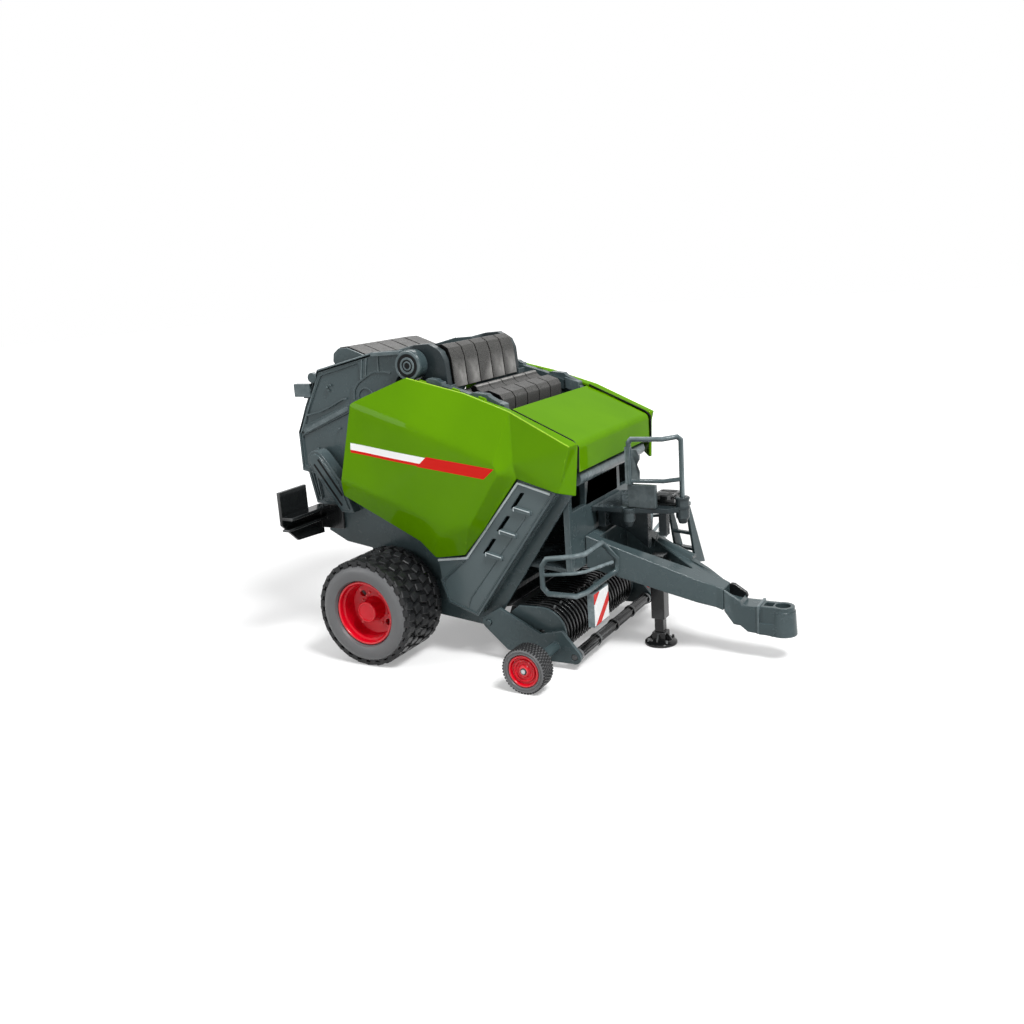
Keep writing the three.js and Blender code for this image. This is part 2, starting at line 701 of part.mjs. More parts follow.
function ladder() {
  const turn = Math.atan2(drawbarRootHalf - drawbarTipHalf, drawbarTipX - drawbarRootX);
  // Outlines of (outward, z) pushed along the rungs, which run beside the drawbar's beam.
  const along = (points, from, to) => {
    const geometry = new THREE.ExtrudeGeometry(shapeOf(points), { depth: to - from, bevelEnabled: false });
    geometry.rotateX(Math.PI / 2).rotateZ(Math.PI / 2).translate(from, 0, 0);
    return solid(geometry.rotateZ(-turn));
  };
  const top = deckTop - deckWall - touchGap;
  const stile = [
    [ladderTopReach - 1, top],
    [ladderFootReach - 10, ladderFoot + 2],
    [ladderFootReach, ladderFoot],
    [ladderTopReach + 1.6, top],
  ];
  const far = ladderAlong + ladderWidth;
  let body = along(stile, ladderAlong, ladderAlong + ladderWall).add(along(stile, far - ladderWall, far));
  for (const [reach, z, depth] of [[66.5, 66, 2.6], [69, 55, 4.6], [70.8, 47.5, 7]]) {
    const rung = [[reach, z], [reach + depth, z], [reach + depth, z + 1.8], [reach, z + 1.8]];
    body = body.add(along(rung, ladderAlong + 0.5, far - 0.5));
  }
  const tie = [[62, top - 2.2], [66.4, top - 2.2], [66.4, top], [62, top]];
  return body.add(along(tie, ladderAlong, far));
}

// ---- front guards, signs and rear lights ----
function guard(side) {
  const inner = drawbarSideAt(guardX + 3.5) + touchGap + 1.6;
  const route = [
    [guardX + 3.5, inner, 54.5], [guardX, 35, 52], [guardX, 64, 51.5], [guardX - 4, 69.5, 50.5],
    [116, 70, 50.5],
    [112.5, 70, 54], [112.5, 70, 67], [116, 70, 71.5], [guardX - 5, 69.5, 74], [guardX, 65, 74.5],
    [guardX, 40, 74.5], [guardX + 3.5, inner, 62],
  ];
  const middle = [
    [112.5, 70, 61.5], [guardX - 5, 69.5, 64], [guardX, 64, 64], [guardX + 2.4, inner + 4, 60.5],
  ];
  const mount = [[guardX + 3.5, inner, 58.2], [guardX + 2.8, inner - 1.4, 58.2]];
  const flip = (points) => points.map(([x, y, z]) => [x, side * y, z]);
  const bars = pipe(flip(middle), 1.1, 8).add(pipe(flip(mount), 1.3, 8));
  const sign = box(guardX - 4, guardX, ...span(side, 34, 55.3), 27, 47.5);
  const hanger = box(guardX - 3.6, guardX - 0.6, ...span(side, 41, 47), 47, 52.5);
  return pipe(flip(route), 1.6, 10, true).add(bars).add(sign).add(hanger);
}

function lightCarrier(side) {
  const start = wallFace + plateWall + touchGap;
  const web = [
    [start, carrierTop], [start, 71], [60, 71.5], [79, 72.5], [carrierReach, 85.5],
    [carrierReach, carrierTop],
  ];
  const across = (points, x0, x1) => {
    const geometry = new THREE.ExtrudeGeometry(shapeOf(points), { depth: x1 - x0, bevelEnabled: false });
    return solid(geometry.rotateX(Math.PI / 2).rotateZ(Math.PI / 2).translate(x0, 0, 0));
  };
  const outline = (points) => {
    const mirrored = points.map(([y, z]) => [side * y, z]);
    return side < 0 ? mirrored.reverse() : mirrored;
  };
  const rear = carrierX + carrierWall;
  const body = across(outline(web), carrierX, rear);
  const [y0, y1] = span(side, start, carrierReach);
  const [f0, f1] = span(side, start, start + carrierWall);
  const upper = box(rear - 0.5, carrierX + 10.5, y0, y1, carrierTop - carrierWall, carrierTop);
  const lower = box(rear - 0.5, carrierX + 7, y0, y1, carrierTop - 9.5, carrierTop - 8);
  const foot = box(rear - 0.5, -41, f0, f1, 75, carrierTop);
  const lamp = box(carrierX, rear + 0.5, ...span(side, 67, carrierReach), carrierTop - 1, 107);
  return body.add(upper).add(lower).add(foot).add(lamp);
}

function rearGuide(side) {
  const start = wallFace + 1;
  const outline = [[-30, 90], [-36, 90], [-57, 118], ...arc(-54, 121.5, 4.5, 200, 40, 6), [-37, 108]];
  let body = plate(inset(outline, 2), ...span(side, start, start + 9));
  for (const face of [0, 4.5, 8]) {
    body = body.add(plate(outline, ...span(side, start + face, start + face + 2)));
  }
  return body;
}

function axle() {
  const half = axleBeam / 2;
  const reach = wheelInnerFace - 2;
  const beam = box(-half, half, -reach, reach, wheelRadius - half, wheelRadius + half);
  const stub = wheelInnerFace + wheelWidth - 6;
  return beam.add(bar(0, wheelRadius, axleRadius, -stub, stub));
}

// A tyre on its rim, from the wheel's inner face outwards.
function wheelTyre(side, { x, radius, width, bead, face, wall, shoulder, segments }) {
  const at = (value) => side * (face + value);
  const seat = bead + touchGap;
  const lip = shoulder / 3;
  const lining = radius - wall * 1.5;
  const profile = [
    [seat, at(wall)], [seat, at(lip)], [seat + lip, at(0)], [radius - shoulder, at(0)],
    [radius - lip, at(lip)], [radius, at(shoulder)], [radius, at(width - shoulder)],
    [radius - lip, at(width - lip)], [radius - shoulder, at(width)], [seat + lip, at(width)],
    [seat, at(width - lip)], [seat, at(width - wall)], [lining, at(width - wall)], [lining, at(wall)],
  ];
  return turned(profile, x, radius, segments);
}

function mainTyre(side) {
  return wheelTyre(side, {
    x: 0,
    radius: wheelRadius,
    width: wheelWidth,
    bead: rimRadius,
    face: wheelInnerFace,
    wall: 4,
    shoulder: 3,
    segments: 40,
  });
}

function guideTyre(side) {
  return wheelTyre(side, {
    x: guideWheelX,
    radius: guideWheelRadius,
    width: guideWheelWidth,
    bead: guideRimRadius,
    face: guideWheelFace,
    wall: 1.4,
    shoulder: 1.5,
    segments: 32,
  });
}

function mainRim(side) {
  const at = (value) => side * (wheelInnerFace + value);
  const w = wheelWidth;
  const profile = [
    [axleRadius + runGap, at(4)], [8, at(4)], [8, at(w - 17)], [rimRadius - 2, at(w - 15)],
    [rimRadius - 2, at(2)],
    [rimRadius, at(2)], [rimRadius, at(w - 3.2)], [rimRadius - 1.8, at(w - 3.2)], [rimRadius - 3, at(w - 12)],
    [10, at(w - 14)], [7.5, at(w - 6)], [0, at(w - 5)], [0, at(w - 5.8)], [axleRadius + runGap, at(w - 5.8)],
  ];
  return turned(profile, 0, wheelRadius, 40);
}

function guideRim(side) {
  const at = (value) => side * (guideWheelFace + value);
  const w = guideWheelWidth;
  const bore = guideAxleRadius + runGap;
  const profile = [
    [bore, at(1)], [4.5, at(1)], [4.5, at(w - 4.5)], [guideRimRadius - 1.2, at(w - 4.5)],
    [guideRimRadius - 1.2, at(1)], [guideRimRadius, at(1)], [guideRimRadius, at(w - 0.6)],
    [guideRimRadius - 1.2, at(w - 0.6)], [guideRimRadius - 2, at(w - 2)], [4.5, at(w - 1.6)],
    [bore, at(w - 1)],
  ];
  return turned(profile, guideWheelX, guideWheelRadius, 32);
}

// ---- tailgate ----
const gateOutline = [
  [8.4, 173],
  [-40, 93.7],
  [-54.6, 89.3],
  [-66, 90],
  [-70.5, 111],
  [-75.3, 112],
  [-75.3, 137.4],
  [-67.4, 154.8],
  [-54, 179],
  [-8, 189.5],
  [13, 190.4],
  [17, 181],
];

function gateWall(side) {
  const [y0, y1] = span(side, gateFace, gateFace + plateWall);
  const bossDepth = pivotBossOuterFace - gateFace;
  const boss = turned(
    [
      [pivotShaftRadius + runGap, 0], [pivotBossRadius, 0], [pivotBossRadius, bossDepth - 1],
      [pivotBossRadius - 1, bossDepth], [6, bossDepth], [6, bossDepth - 2],
      [pivotShaftRadius + runGap, bossDepth - 2],
    ].map(([r, y]) => [r, side * (gateFace + y)]),
    pivotX,
    pivotZ,
    28,
  );
  const clear = bar(pivotX, pivotZ, pivotBossRadius - 2, y0 - 1, y1 + 1, 28);
  const armOutline = [[-8, 187], [14, 187.9], [14, 190.3], [-8, 189.5]];
  const armRib = plate(armOutline, ...span(side, gateFace + 2, gateFace + 6));
  const edge = [[-75, 137.4], [-72.6, 137.4], [-52.6, 177], [-8, 187.1], [-8, 189.4], [-53.8, 178.8]];
  const ribFace = wallFace - touchGap; // the closed tailgate slides inside the chamber walls
  const rib = plate(edge, ...span(side, gateFace + 2, ribFace));
  const stripOutline = [[-70.5, 140], [-69.5, 137.4], [-31.4, 153], [-32, 155.6]];
  const strip = plate(stripOutline, ...span(side, gateFace + 2, ribFace));
  const catchBox = box(-74, -61, ...span(side, gateFace, gateFace + 3.8), 161.5, 170);
  const catchTube = bar(-58.3, 174, 3.3, ...span(side, gateFace, gateFace + 3.8), 14);
  const ribs = armRib.add(rib).add(strip);
  const wall = plate(gateOutline, y0, y1).subtract(clear).add(boss);
  return wall.add(ribs).add(catchBox).add(catchTube).add(rearCheek(side));
}

function gateBelts() {
  const half = gateFace - touchGap;
  const inner = arc(chamberX, chamberZ, chamberRadius, 112, 232, 16).map(turnedOpen);
  const outer = arc(chamberX, chamberZ, chamberRadius + 2, 232, 112, 16).map(turnedOpen);
  return plate([...inner, ...outer], -half, half);
}

const rearBeltOutline = [
  [-25, 181], [-18, 186.5], [-27, 190], [-34, 192.6], [-41, 192.3], [-45.5, 189], [-46.5, 183.5], [-43, 178],
];
const rearBelts = beltBlock(rearBeltOutline, rearBeltHalf);

// A cheek beside the rear belts, on the tailgate wall.
function rearCheek(side) {
  const start = rearBeltHalf + touchGap;
  const cheek = plate(inset(rearBeltOutline, 0.6), ...span(side, start, start + 2));
  const foot = box(-42, -36, ...span(side, start, gateFace + 0.5), 178.6, 181.4);
  return cheek.add(foot);
}

function gateCrossbar() {
  const inner = gateFace - touchGap;
  return box(-70, -62, -inner, inner, 160, 167).add(bar(-60, 169, 3, -inner, inner, 14));
}

// ---- pick-up ----
function pickupPlate(side) {
  const outer = [
    ...arc(pickupPivotX, pickupPivotZ, 4.5, 120, 230, 6),
    [80, 7.5], [108, 3.8],
    ...arc(pressRollerX, pressRollerZ, 4.5, 250, 390, 6),
    [117.6, 24], [103, 20.5], [76, 34],
  ];
  const [y0, y1] = span(side, pickupPlateFace, pickupPlateFace + plateWall);
  const [c0, c1] = span(side, pickupCheekFace, pickupCheekFace + 2);
  const [w0, w1] = span(side, pickupCheekFace, pickupPlateFace + 1);
  const cheekOutline = [...arc(reelX, reelZ, bandRadius, -70, 90, 10), [86, 34.6], [80.5, 30], [80.5, 9]];
  const cheek = plate(cheekOutline, c0, c1);
  const web = plate([[81, 18], [81, 8.5], [104, 6], [104, 8.5], [84, 11], [84, 18]], w0, w1);
  const roller = pressRollerRadius * 0.6 + runGap;
  const body = plate(outer, y0, y1).add(cheek).add(web);
  return body
    .subtract(bar(pickupPivotX, pickupPivotZ, guideAxleRadius + runGap, y0 - 1, y1 + 1, 16))
    .subtract(bar(pressRollerX, pressRollerZ, roller, y0 - 1, y1 + 1, 16))
    .subtract(bar(reelX, reelZ, 2 + runGap, c0 - 1, c1 + 1, 16));
}

function pickupBands() {
  const half = wallFace - touchGap;
  let body = plate([[79.5, 33], [77.5, 28], [77.5, 9.5], [79.8, 9], [79.8, 27.5], [85, 32.8]], -half, half);
  const pitch = (2 * half - bandWidth) / (bandCount - 1);
  const outline = [
    ...arc(reelX, reelZ, bandRadius, -42, 112, 10),
    [80.5, 32.6],
    [79, 29],
    ...arc(reelX, reelZ, bandRadius - bandWall, 118, -42, 8),
  ];
  for (let i = 0; i < bandCount; i += 1) {
    const y = -half + i * pitch;
    body = body.add(plate(outline, y, y + bandWidth));
  }
  return body;
}

function tineReel() {
  const half = pickupCheekFace + 2 - 0.2;
  const core = pickupCheekFace - touchGap - bandWidth - 0.5;
  let body = bar(reelX, reelZ, 2, -half, half, 16).add(bar(reelX, reelZ, 5, -core, core, 16));
  const pitch = (2 * (wallFace - touchGap) - bandWidth) / (bandCount - 1);
  const first = -(wallFace - touchGap) + bandWidth / 2 + pitch / 2;
  for (let row = 0; row < 4; row += 1) {
    for (let i = row % 2; i < bandCount - 1; i += 2) {
      const y = first + i * pitch;
      const tine = new THREE.BoxGeometry(1.2, 0.9, tineRadius - 4).translate(0, 0, (tineRadius + 4) / 2);
      tine.rotateY((row * Math.PI) / 2 + Math.PI / 8).translate(reelX, y, reelZ);
      body = body.add(solid(tine));
    }
  }
  return body;
}

function pressRoller() {
  const half = pickupPlateFace - touchGap;
  const end = pickupPlateFace + plateWall - 0.2;
  let body = bar(pressRollerX, pressRollerZ, pressRollerRadius * 0.6, -end, end, 12);
  body = body.add(bar(pressRollerX, pressRollerZ, pressRollerRadius, -half, half, 16));
  for (let i = 0; i < 5; i += 1) {
    const y = -half + 1 + (i * (2 * half - 4)) / 4;
    body = body.add(bar(pressRollerX, pressRollerZ, pressCollarRadius, y, y + 2, 16));
  }
  return body;
}

function guideAxle(side) {
  const start = pickupPlateFace + plateWall - 1;
  const reach = guideWheelFace + guideWheelWidth - 0.4;
  const shaft = bar(guideWheelX, guideWheelRadius, guideAxleRadius, ...span(side, start, reach), 20);
  const sleeve = bar(guideWheelX, guideWheelRadius, 3.4, ...span(side, start, guideWheelFace - 1), 20);
  return shaft.add(sleeve);
}

function floorRoller() {
  return bar(chamberX, 58, 6, -(gateFace - 1), gateFace - 1, 24).add(
    bar(chamberX, 58, 2, -(wallFace - touchGap), wallFace - touchGap, 12),
  );
}

// ---- assembly ----
for (const [name, side] of Object.entries(sides)) {
  put(`chamber_wall_${name}`, chamberWall(side), slate);
  put(`side_panel_${name}`, sidePanel(side), green);
  put(`side_cover_${name}`, sideCover(side), slate);
  put(`front_guard_${name}`, guard(side), slate);
  put(`light_carrier_${name}`, lightCarrier(side), slate);
  put(`pickup_plate_${name}`, pickupPlate(side).add(guideAxle(side)), slate);
  put(`tailgate_wall_${name}`, gateWall(side), slate);
  put(`main_tyre_${name}`, mainTyre(side), tyreRubber);
  put(`main_rim_${name}`, mainRim(side), red);
  put(`guide_tyre_${name}`, guideTyre(side), tyreRubber);
  put(`guide_rim_${name}`, guideRim(side), red);
}
put("hood", hood(), green);
put("front_frame", frontFrame(), slate);
put("intake_roof", intakeRoof(), black);
put("intake_floor", intakeFloor(), slate);
put("chamber_belts_front", frontBelts(), beltBlack);
put("pivot_frame", pivotFrame(), slate);
put("belts_upper", upperBelts, beltBlack);
put("belts_lower", lowerBlock, beltBlack);
put("drawbar", drawbar(), slate);
put("hitch_ring", hitch(), slate);
put("jack_tube", jackBracket(), slate);
put("jack_leg", jackLegAndFoot(), black);
put("platform", platform(), slate);
put("railing", railing(), slate);
put("cabinet", cabinet(), slate);
put("toolbox", toolbox(), black);
put("ladder", ladder(), slate);
put("axle", axle(), steel);
put("floor_roller", floorRoller(), black);
put("chamber_belts_rear", gateBelts(), beltBlack);
put("belts_rear", rearBelts, beltBlack);
put("tailgate_crossbar", gateCrossbar(), slate);
put("pickup_bands", pickupBands(), black);
put("tine_reel", tineReel(), black);
put("press_roller", pressRoller(), black);

const group = new THREE.Group();
group.add(model);
const extent = new THREE.Box3().setFromObject(model);
model.position.x = -(extent.min.x + extent.max.x) / 2;
export default group;
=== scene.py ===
# Looks of the toy round baler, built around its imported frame.
# Sizes are millimetres from the main axle's line on the ground: X to the hitch, Y to the left, Z up.
import json
import math
import bpy
from mathutils import Matrix, Vector


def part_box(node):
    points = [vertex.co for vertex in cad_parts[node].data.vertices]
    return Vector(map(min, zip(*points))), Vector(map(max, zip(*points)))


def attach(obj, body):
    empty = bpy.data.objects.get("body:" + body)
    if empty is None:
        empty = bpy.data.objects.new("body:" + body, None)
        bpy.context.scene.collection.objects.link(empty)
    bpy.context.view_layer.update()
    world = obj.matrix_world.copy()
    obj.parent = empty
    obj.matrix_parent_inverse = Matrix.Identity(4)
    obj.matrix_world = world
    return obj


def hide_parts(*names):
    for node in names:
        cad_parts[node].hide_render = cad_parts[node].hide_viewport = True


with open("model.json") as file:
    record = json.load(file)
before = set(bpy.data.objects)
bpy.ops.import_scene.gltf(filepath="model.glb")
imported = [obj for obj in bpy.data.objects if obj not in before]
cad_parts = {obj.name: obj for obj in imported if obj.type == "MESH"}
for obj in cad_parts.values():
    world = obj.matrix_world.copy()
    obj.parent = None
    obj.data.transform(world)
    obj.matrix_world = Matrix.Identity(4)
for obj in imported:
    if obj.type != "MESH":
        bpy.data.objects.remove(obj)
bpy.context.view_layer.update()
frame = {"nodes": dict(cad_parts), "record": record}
mm = 0.001
axleLow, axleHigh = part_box("axle")
axleX = (axleLow.x + axleHigh.x) / 2


def at(x, y, z):
    return Vector((axleX + x * mm, y * mm, z * mm))


# ways of working on a mesh

def clearSelection():
    if bpy.context.object and bpy.context.object.mode != "OBJECT":
        bpy.ops.object.mode_set(mode="OBJECT")
    bpy.ops.object.select_all(action="DESELECT")


def makeActive(piece):
    clearSelection()
    piece.select_set(True)
    bpy.context.view_layer.objects.active = piece


def editAll(piece):
    makeActive(piece)
    bpy.ops.object.mode_set(mode="EDIT")
    bpy.ops.mesh.select_all(action="SELECT")


def leaveEdit():
    bpy.ops.object.mode_set(mode="OBJECT")


def modify(piece, kind, **settings):
    makeActive(piece)
    modifier = piece.modifiers.new(kind.title(), kind)
    for key, value in settings.items():
        setattr(modifier, key, value)
    bpy.ops.object.modifier_apply(modifier=modifier.name)


def roundEdges(piece, width, segments=2, angle=30):
    modify(piece, "BEVEL", width=width * mm, segments=segments, limit_method="ANGLE",
           angle_limit=math.radians(angle), use_clamp_overlap=False, miter_outer="MITER_ARC")


def smoothBy(piece, angle=38):
    makeActive(piece)
    bpy.ops.object.shade_smooth_by_angle(angle=math.radians(angle))


def faceOut(piece):
    editAll(piece)
    bpy.ops.mesh.remove_doubles(threshold=0.005 * mm)
    bpy.ops.mesh.normals_make_consistent(inside=False)
    leaveEdit()


def copyOf(piece, name, move=None):
    copy = bpy.data.objects.new(name, piece.data.copy())
    bpy.context.scene.collection.objects.link(copy)
    if move is not None:
        copy.data.transform(move)
    return copy


def mirrored(piece, name):
    copy = copyOf(piece, name, Matrix.Scale(-1, 4, (0, 1, 0)))
    copy.data.flip_normals()
    return copy


def joined(pieces, name):
    makeActive(pieces[0])
    for piece in pieces[1:]:
        piece.select_set(True)
    if len(pieces) > 1:
        bpy.ops.object.join()
    pieces[0].name = name
    return pieces[0]


def cut(piece, tool, operation="DIFFERENCE"):
    modify(piece, "BOOLEAN", object=tool, operation=operation, solver="EXACT")
    bpy.data.objects.remove(tool)


def plateOf(corners, y0, y1):  # an outline in X and Z, pushed along Y
    clearSelection()
    bpy.ops.mesh.primitive_circle_add(vertices=len(corners), fill_type="NGON")
    piece = bpy.context.object
    for vertex, (x, z) in zip(piece.data.vertices, corners):
        vertex.co = at(x, y0, z)
    editAll(piece)
    bpy.ops.mesh.extrude_region_move(TRANSFORM_OT_translate={"value": (0, (y1 - y0) * mm, 0)})
    bpy.ops.mesh.select_all(action="SELECT")
    bpy.ops.mesh.normals_make_consistent(inside=False)
    leaveEdit()
    return piece


def arcOf(x, z, radius, start, end, steps):
    angles = [math.radians(start + (end - start) * i / steps) for i in range(steps + 1)]
    return [(x + radius * math.cos(a), z + radius * math.sin(a)) for a in angles]


def ribOf(points, width, y0, y1, closed=False):  # a raised rib that follows points in X and Z
    places = [Vector(point) for point in points]
    count = len(places)
    left, right = [], []
    for i, here in enumerate(places):
        before = places[i - 1] if closed or i > 0 else here
        after = places[(i + 1) % count] if closed or i < count - 1 else here
        along = ((here - before).normalized() + (after - here).normalized()).normalized()
        side = Vector((-along.y, along.x)) * width / 2
        left.append(tuple(here + side))
        right.append(tuple(here - side))
    if not closed:
        return plateOf(left + right[::-1], y0, y1)
    outer, inner = plateOf(left, y0, y1), plateOf(right, y0 - 1, y1 + 1)
    if areaOf(left) < areaOf(right):
        bpy.data.objects.remove(outer)
        bpy.data.objects.remove(inner)
        outer, inner = plateOf(right, y0, y1), plateOf(left, y0 - 1, y1 + 1)
    cut(outer, inner)
    return outer


def areaOf(corners):
    return abs(sum(a[0] * b[1] - b[0] * a[1] for a, b in zip(corners, corners[1:] + corners[:1]))) / 2


def applied():  # the new primitive, with its place in its mesh
    bpy.ops.object.transform_apply(location=True, rotation=True, scale=True)
    return bpy.context.object


def blockOf(x0, x1, y0, y1, z0, z1):
    clearSelection()
    middle = at((x0 + x1) / 2, (y0 + y1) / 2, (z0 + z1) / 2)
    bpy.ops.mesh.primitive_cube_add(size=1, location=middle, scale=((x1 - x0) * mm, (y1 - y0) * mm, (z1 - z0) * mm))
    return applied()


def rodOf(x, z, radius, y0, y1, vertices=20):  # a round bar along Y
    clearSelection()
    bpy.ops.mesh.primitive_cylinder_add(vertices=vertices, radius=radius * mm, depth=abs(y1 - y0) * mm,
                                        location=at(x, (y0 + y1) / 2, z), rotation=(math.pi / 2, 0, 0))
    return applied()


def postOf(x, y, lowRadius, highRadius, z0, z1, vertices=24):  # a round or tapered post
    clearSelection()
    bpy.ops.mesh.primitive_cone_add(vertices=vertices, radius1=lowRadius * mm, radius2=highRadius * mm,
                                    depth=(z1 - z0) * mm, location=at(x, y, (z0 + z1) / 2))
    return applied()


def beadOf(points, radius):  # a thin round bead that follows points
    pieces = []
    ends = [at(*point) for point in points]
    for start, end in zip(ends, ends[1:]):
        clearSelection()
        along = end - start
        turn = along.to_track_quat("Z", "Y").to_euler()
        bpy.ops.mesh.primitive_cylinder_add(vertices=10, radius=radius * mm, depth=along.length,
                                            location=(start + end) / 2, rotation=turn)
        pieces.append(applied())
    for end in ends:
        clearSelection()
        bpy.ops.mesh.primitive_uv_sphere_add(segments=10, ring_count=6, radius=radius * mm, location=end)
        pieces.append(applied())
    bead = joined(pieces, "bead")
    smoothBy(bead, 60)
    return bead


def splitLongEdges(piece, length):  # halves every edge longer than a length, until the mesh is even
    for turn in range(3):
        editAll(piece)
        bpy.ops.mesh.quads_convert_to_tris()
        bpy.ops.mesh.select_mode(type="EDGE")
        bpy.ops.mesh.select_all(action="DESELECT")
        leaveEdit()
        points = piece.data.vertices
        for edge in piece.data.edges:
            a, b = edge.vertices
            edge.select = (points[a].co - points[b].co).length > length * mm
        if not any(edge.select for edge in piece.data.edges):
            return
        bpy.ops.object.mode_set(mode="EDIT")
        bpy.ops.mesh.subdivide(number_cuts=1)
        leaveEdit()


def spun(profile, x, z, steps):  # a closed profile of (radius, y) turned about a line along Y
    clearSelection()
    bpy.ops.mesh.primitive_circle_add(vertices=len(profile), fill_type="NOTHING")
    piece = bpy.context.object
    for vertex, (radius, y) in zip(piece.data.vertices, profile):
        vertex.co = at(x, y, z + radius)
    editAll(piece)
    bpy.ops.mesh.spin(steps=steps, angle=2 * math.pi, center=at(x, 0, z), axis=(0, 1, 0))
    leaveEdit()
    faceOut(piece)
    return piece


def turnAbout(x, z, degrees):  # about a line along Y
    return turnAt(at(x, 0, z), degrees, "Y")


def turnAt(centre, degrees, axis):
    return Matrix.Translation(centre) @ Matrix.Rotation(math.radians(degrees), 4, axis) @ Matrix.Translation(-centre)


def finished(pieces, name, width, segments=2, angle=35, smooth=35):  # edges rounded, joined and smoothed
    for piece in pieces:
        roundEdges(piece, width, segments, angle)
    whole = joined(pieces, name)
    if smooth:
        smoothBy(whole, smooth)
    return whole


def place(piece, name, body, look):
    piece.name = name
    piece.data.name = name
    piece.data.materials.clear()
    piece.data.materials.append(materials[look])
    for face in piece.data.polygons:
        face.material_index = 0
    modify(piece, "WEIGHTED_NORMAL", keep_sharp=True)
    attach(piece, body)
    return piece


# shader node groups

def newGroup(name, inputs, outputs):
    group = bpy.data.node_groups.new(name, "ShaderNodeTree")
    for label, kind, value in inputs:
        socket = group.interface.new_socket(name=label, in_out="INPUT", socket_type=kind)
        socket.default_value = value
    for label, kind in outputs:
        group.interface.new_socket(name=label, in_out="OUTPUT", socket_type=kind)
    return group


def addNode(tree, kind, x=0, y=0, **settings):
    node = tree.nodes.new(kind)
    node.location = (x, y)
    for key, value in settings.items():
        setattr(node, key, value)
    return node


def mathNode(tree, operation, a, b=None):
    node = addNode(tree, "ShaderNodeMath", operation=operation)
    for socket, value in zip(node.inputs, (a, b)):
        if value is None:
            continue
        if isinstance(value, (int, float)):
            socket.default_value = value
        else:
            tree.links.new(value, socket)
    return node.outputs[0]


def mixColours(tree, factor, a, b):
    node = addNode(tree, "ShaderNodeMix", data_type="RGBA")
    for socket, value in ((node.inputs["Factor"], factor), (node.inputs["A"], a), (node.inputs["B"], b)):
        if isinstance(value, (int, float)):
            socket.default_value = value
        elif isinstance(value, (tuple, list)):
            socket.default_value = (*value[:3], 1)
        else:
            tree.links.new(value, socket)
    return node.outputs["Result"]


def remap(tree, value, fromLow, fromHigh, toLow, toHigh):
    node = addNode(tree, "ShaderNodeMapRange")
    tree.links.new(value, node.inputs["Value"])
    for label, setting in (("From Min", fromLow), ("From Max", fromHigh), ("To Min", toLow), ("To Max", toHigh)):
        if isinstance(setting, (int, float)):
            node.inputs[label].default_value = setting
        else:
            tree.links.new(setting, node.inputs[label])
    return node.outputs["Result"]


def noiseNode(tree, where, scale, detail=3, roughness=0.5):
    node = addNode(tree, "ShaderNodeTexNoise")
    node.inputs["Detail"].default_value = detail
    node.inputs["Roughness"].default_value = roughness
    tree.links.new(where, node.inputs["Vector"])
    if isinstance(scale, (int, float)):
        node.inputs["Scale"].default_value = scale
    else:
        tree.links.new(scale, node.inputs["Scale"])
    return node.outputs["Fac"]


def makeMouldedGroup():  # soft mottling, pale sharp edges as a painted highlight, fine grain and uneven gloss of moulded plastic
    group = newGroup("mouldedSurface", [
        ("Colour", "NodeSocketColor", (0.1, 0.1, 0.1, 1)), ("Shade Colour", "NodeSocketColor", (0.08, 0.08, 0.08, 1)),
        ("Edge Colour", "NodeSocketColor", (0.3, 0.3, 0.3, 1)), ("Edge Highlight", "NodeSocketFloat", 0.4),
        ("Gloss Low", "NodeSocketFloat", 0.25), ("Gloss High", "NodeSocketFloat", 0.4),
        ("Grain Scale", "NodeSocketFloat", 1800.0), ("Speckle", "NodeSocketFloat", 0.1),
    ], [("Colour", "NodeSocketColor"), ("Roughness", "NodeSocketFloat"), ("Height", "NodeSocketFloat")])
    incoming = addNode(group, "NodeGroupInput", -900)
    outgoing = addNode(group, "NodeGroupOutput", 900)
    where = addNode(group, "ShaderNodeTexCoord", -900, -300).outputs["Object"]
    broad = noiseNode(group, where, 22, 2)
    fine = noiseNode(group, where, incoming.outputs["Grain Scale"], 2, 0.6)
    glossAndHighlightNoise = noiseNode(group, where, 160, 4, 0.65)
    mottle = remap(group, broad, 0.35, 0.65, 0, 1)
    body = mixColours(group, mottle, incoming.outputs["Colour"], incoming.outputs["Shade Colour"])
    speck = mathNode(group, "MULTIPLY", remap(group, fine, 0.35, 0.7, 0, 1), incoming.outputs["Speckle"])
    body = mixColours(group, speck, body, incoming.outputs["Edge Colour"])
    # a painted highlight: the edge colour mixed in at sharp convex edges, found from pointiness and broken up by noise
    point = addNode(group, "ShaderNodeNewGeometry", -900, -500).outputs["Pointiness"]
    edge = remap(group, point, 0.55, 0.605, 0, 1)
    edge = mathNode(group, "MULTIPLY", edge, remap(group, glossAndHighlightNoise, 0.35, 0.6, 0.45, 1))
    edge = mathNode(group, "MULTIPLY", edge, incoming.outputs["Edge Highlight"])
    body = mixColours(group, edge, body, incoming.outputs["Edge Colour"])
    group.links.new(body, outgoing.inputs["Colour"])
    gloss = remap(group, glossAndHighlightNoise, 0.3, 0.7, incoming.outputs["Gloss Low"], incoming.outputs["Gloss High"])
    group.links.new(gloss, outgoing.inputs["Roughness"])
    group.links.new(fine, outgoing.inputs["Height"])
    return group


mouldedGroup = makeMouldedGroup()


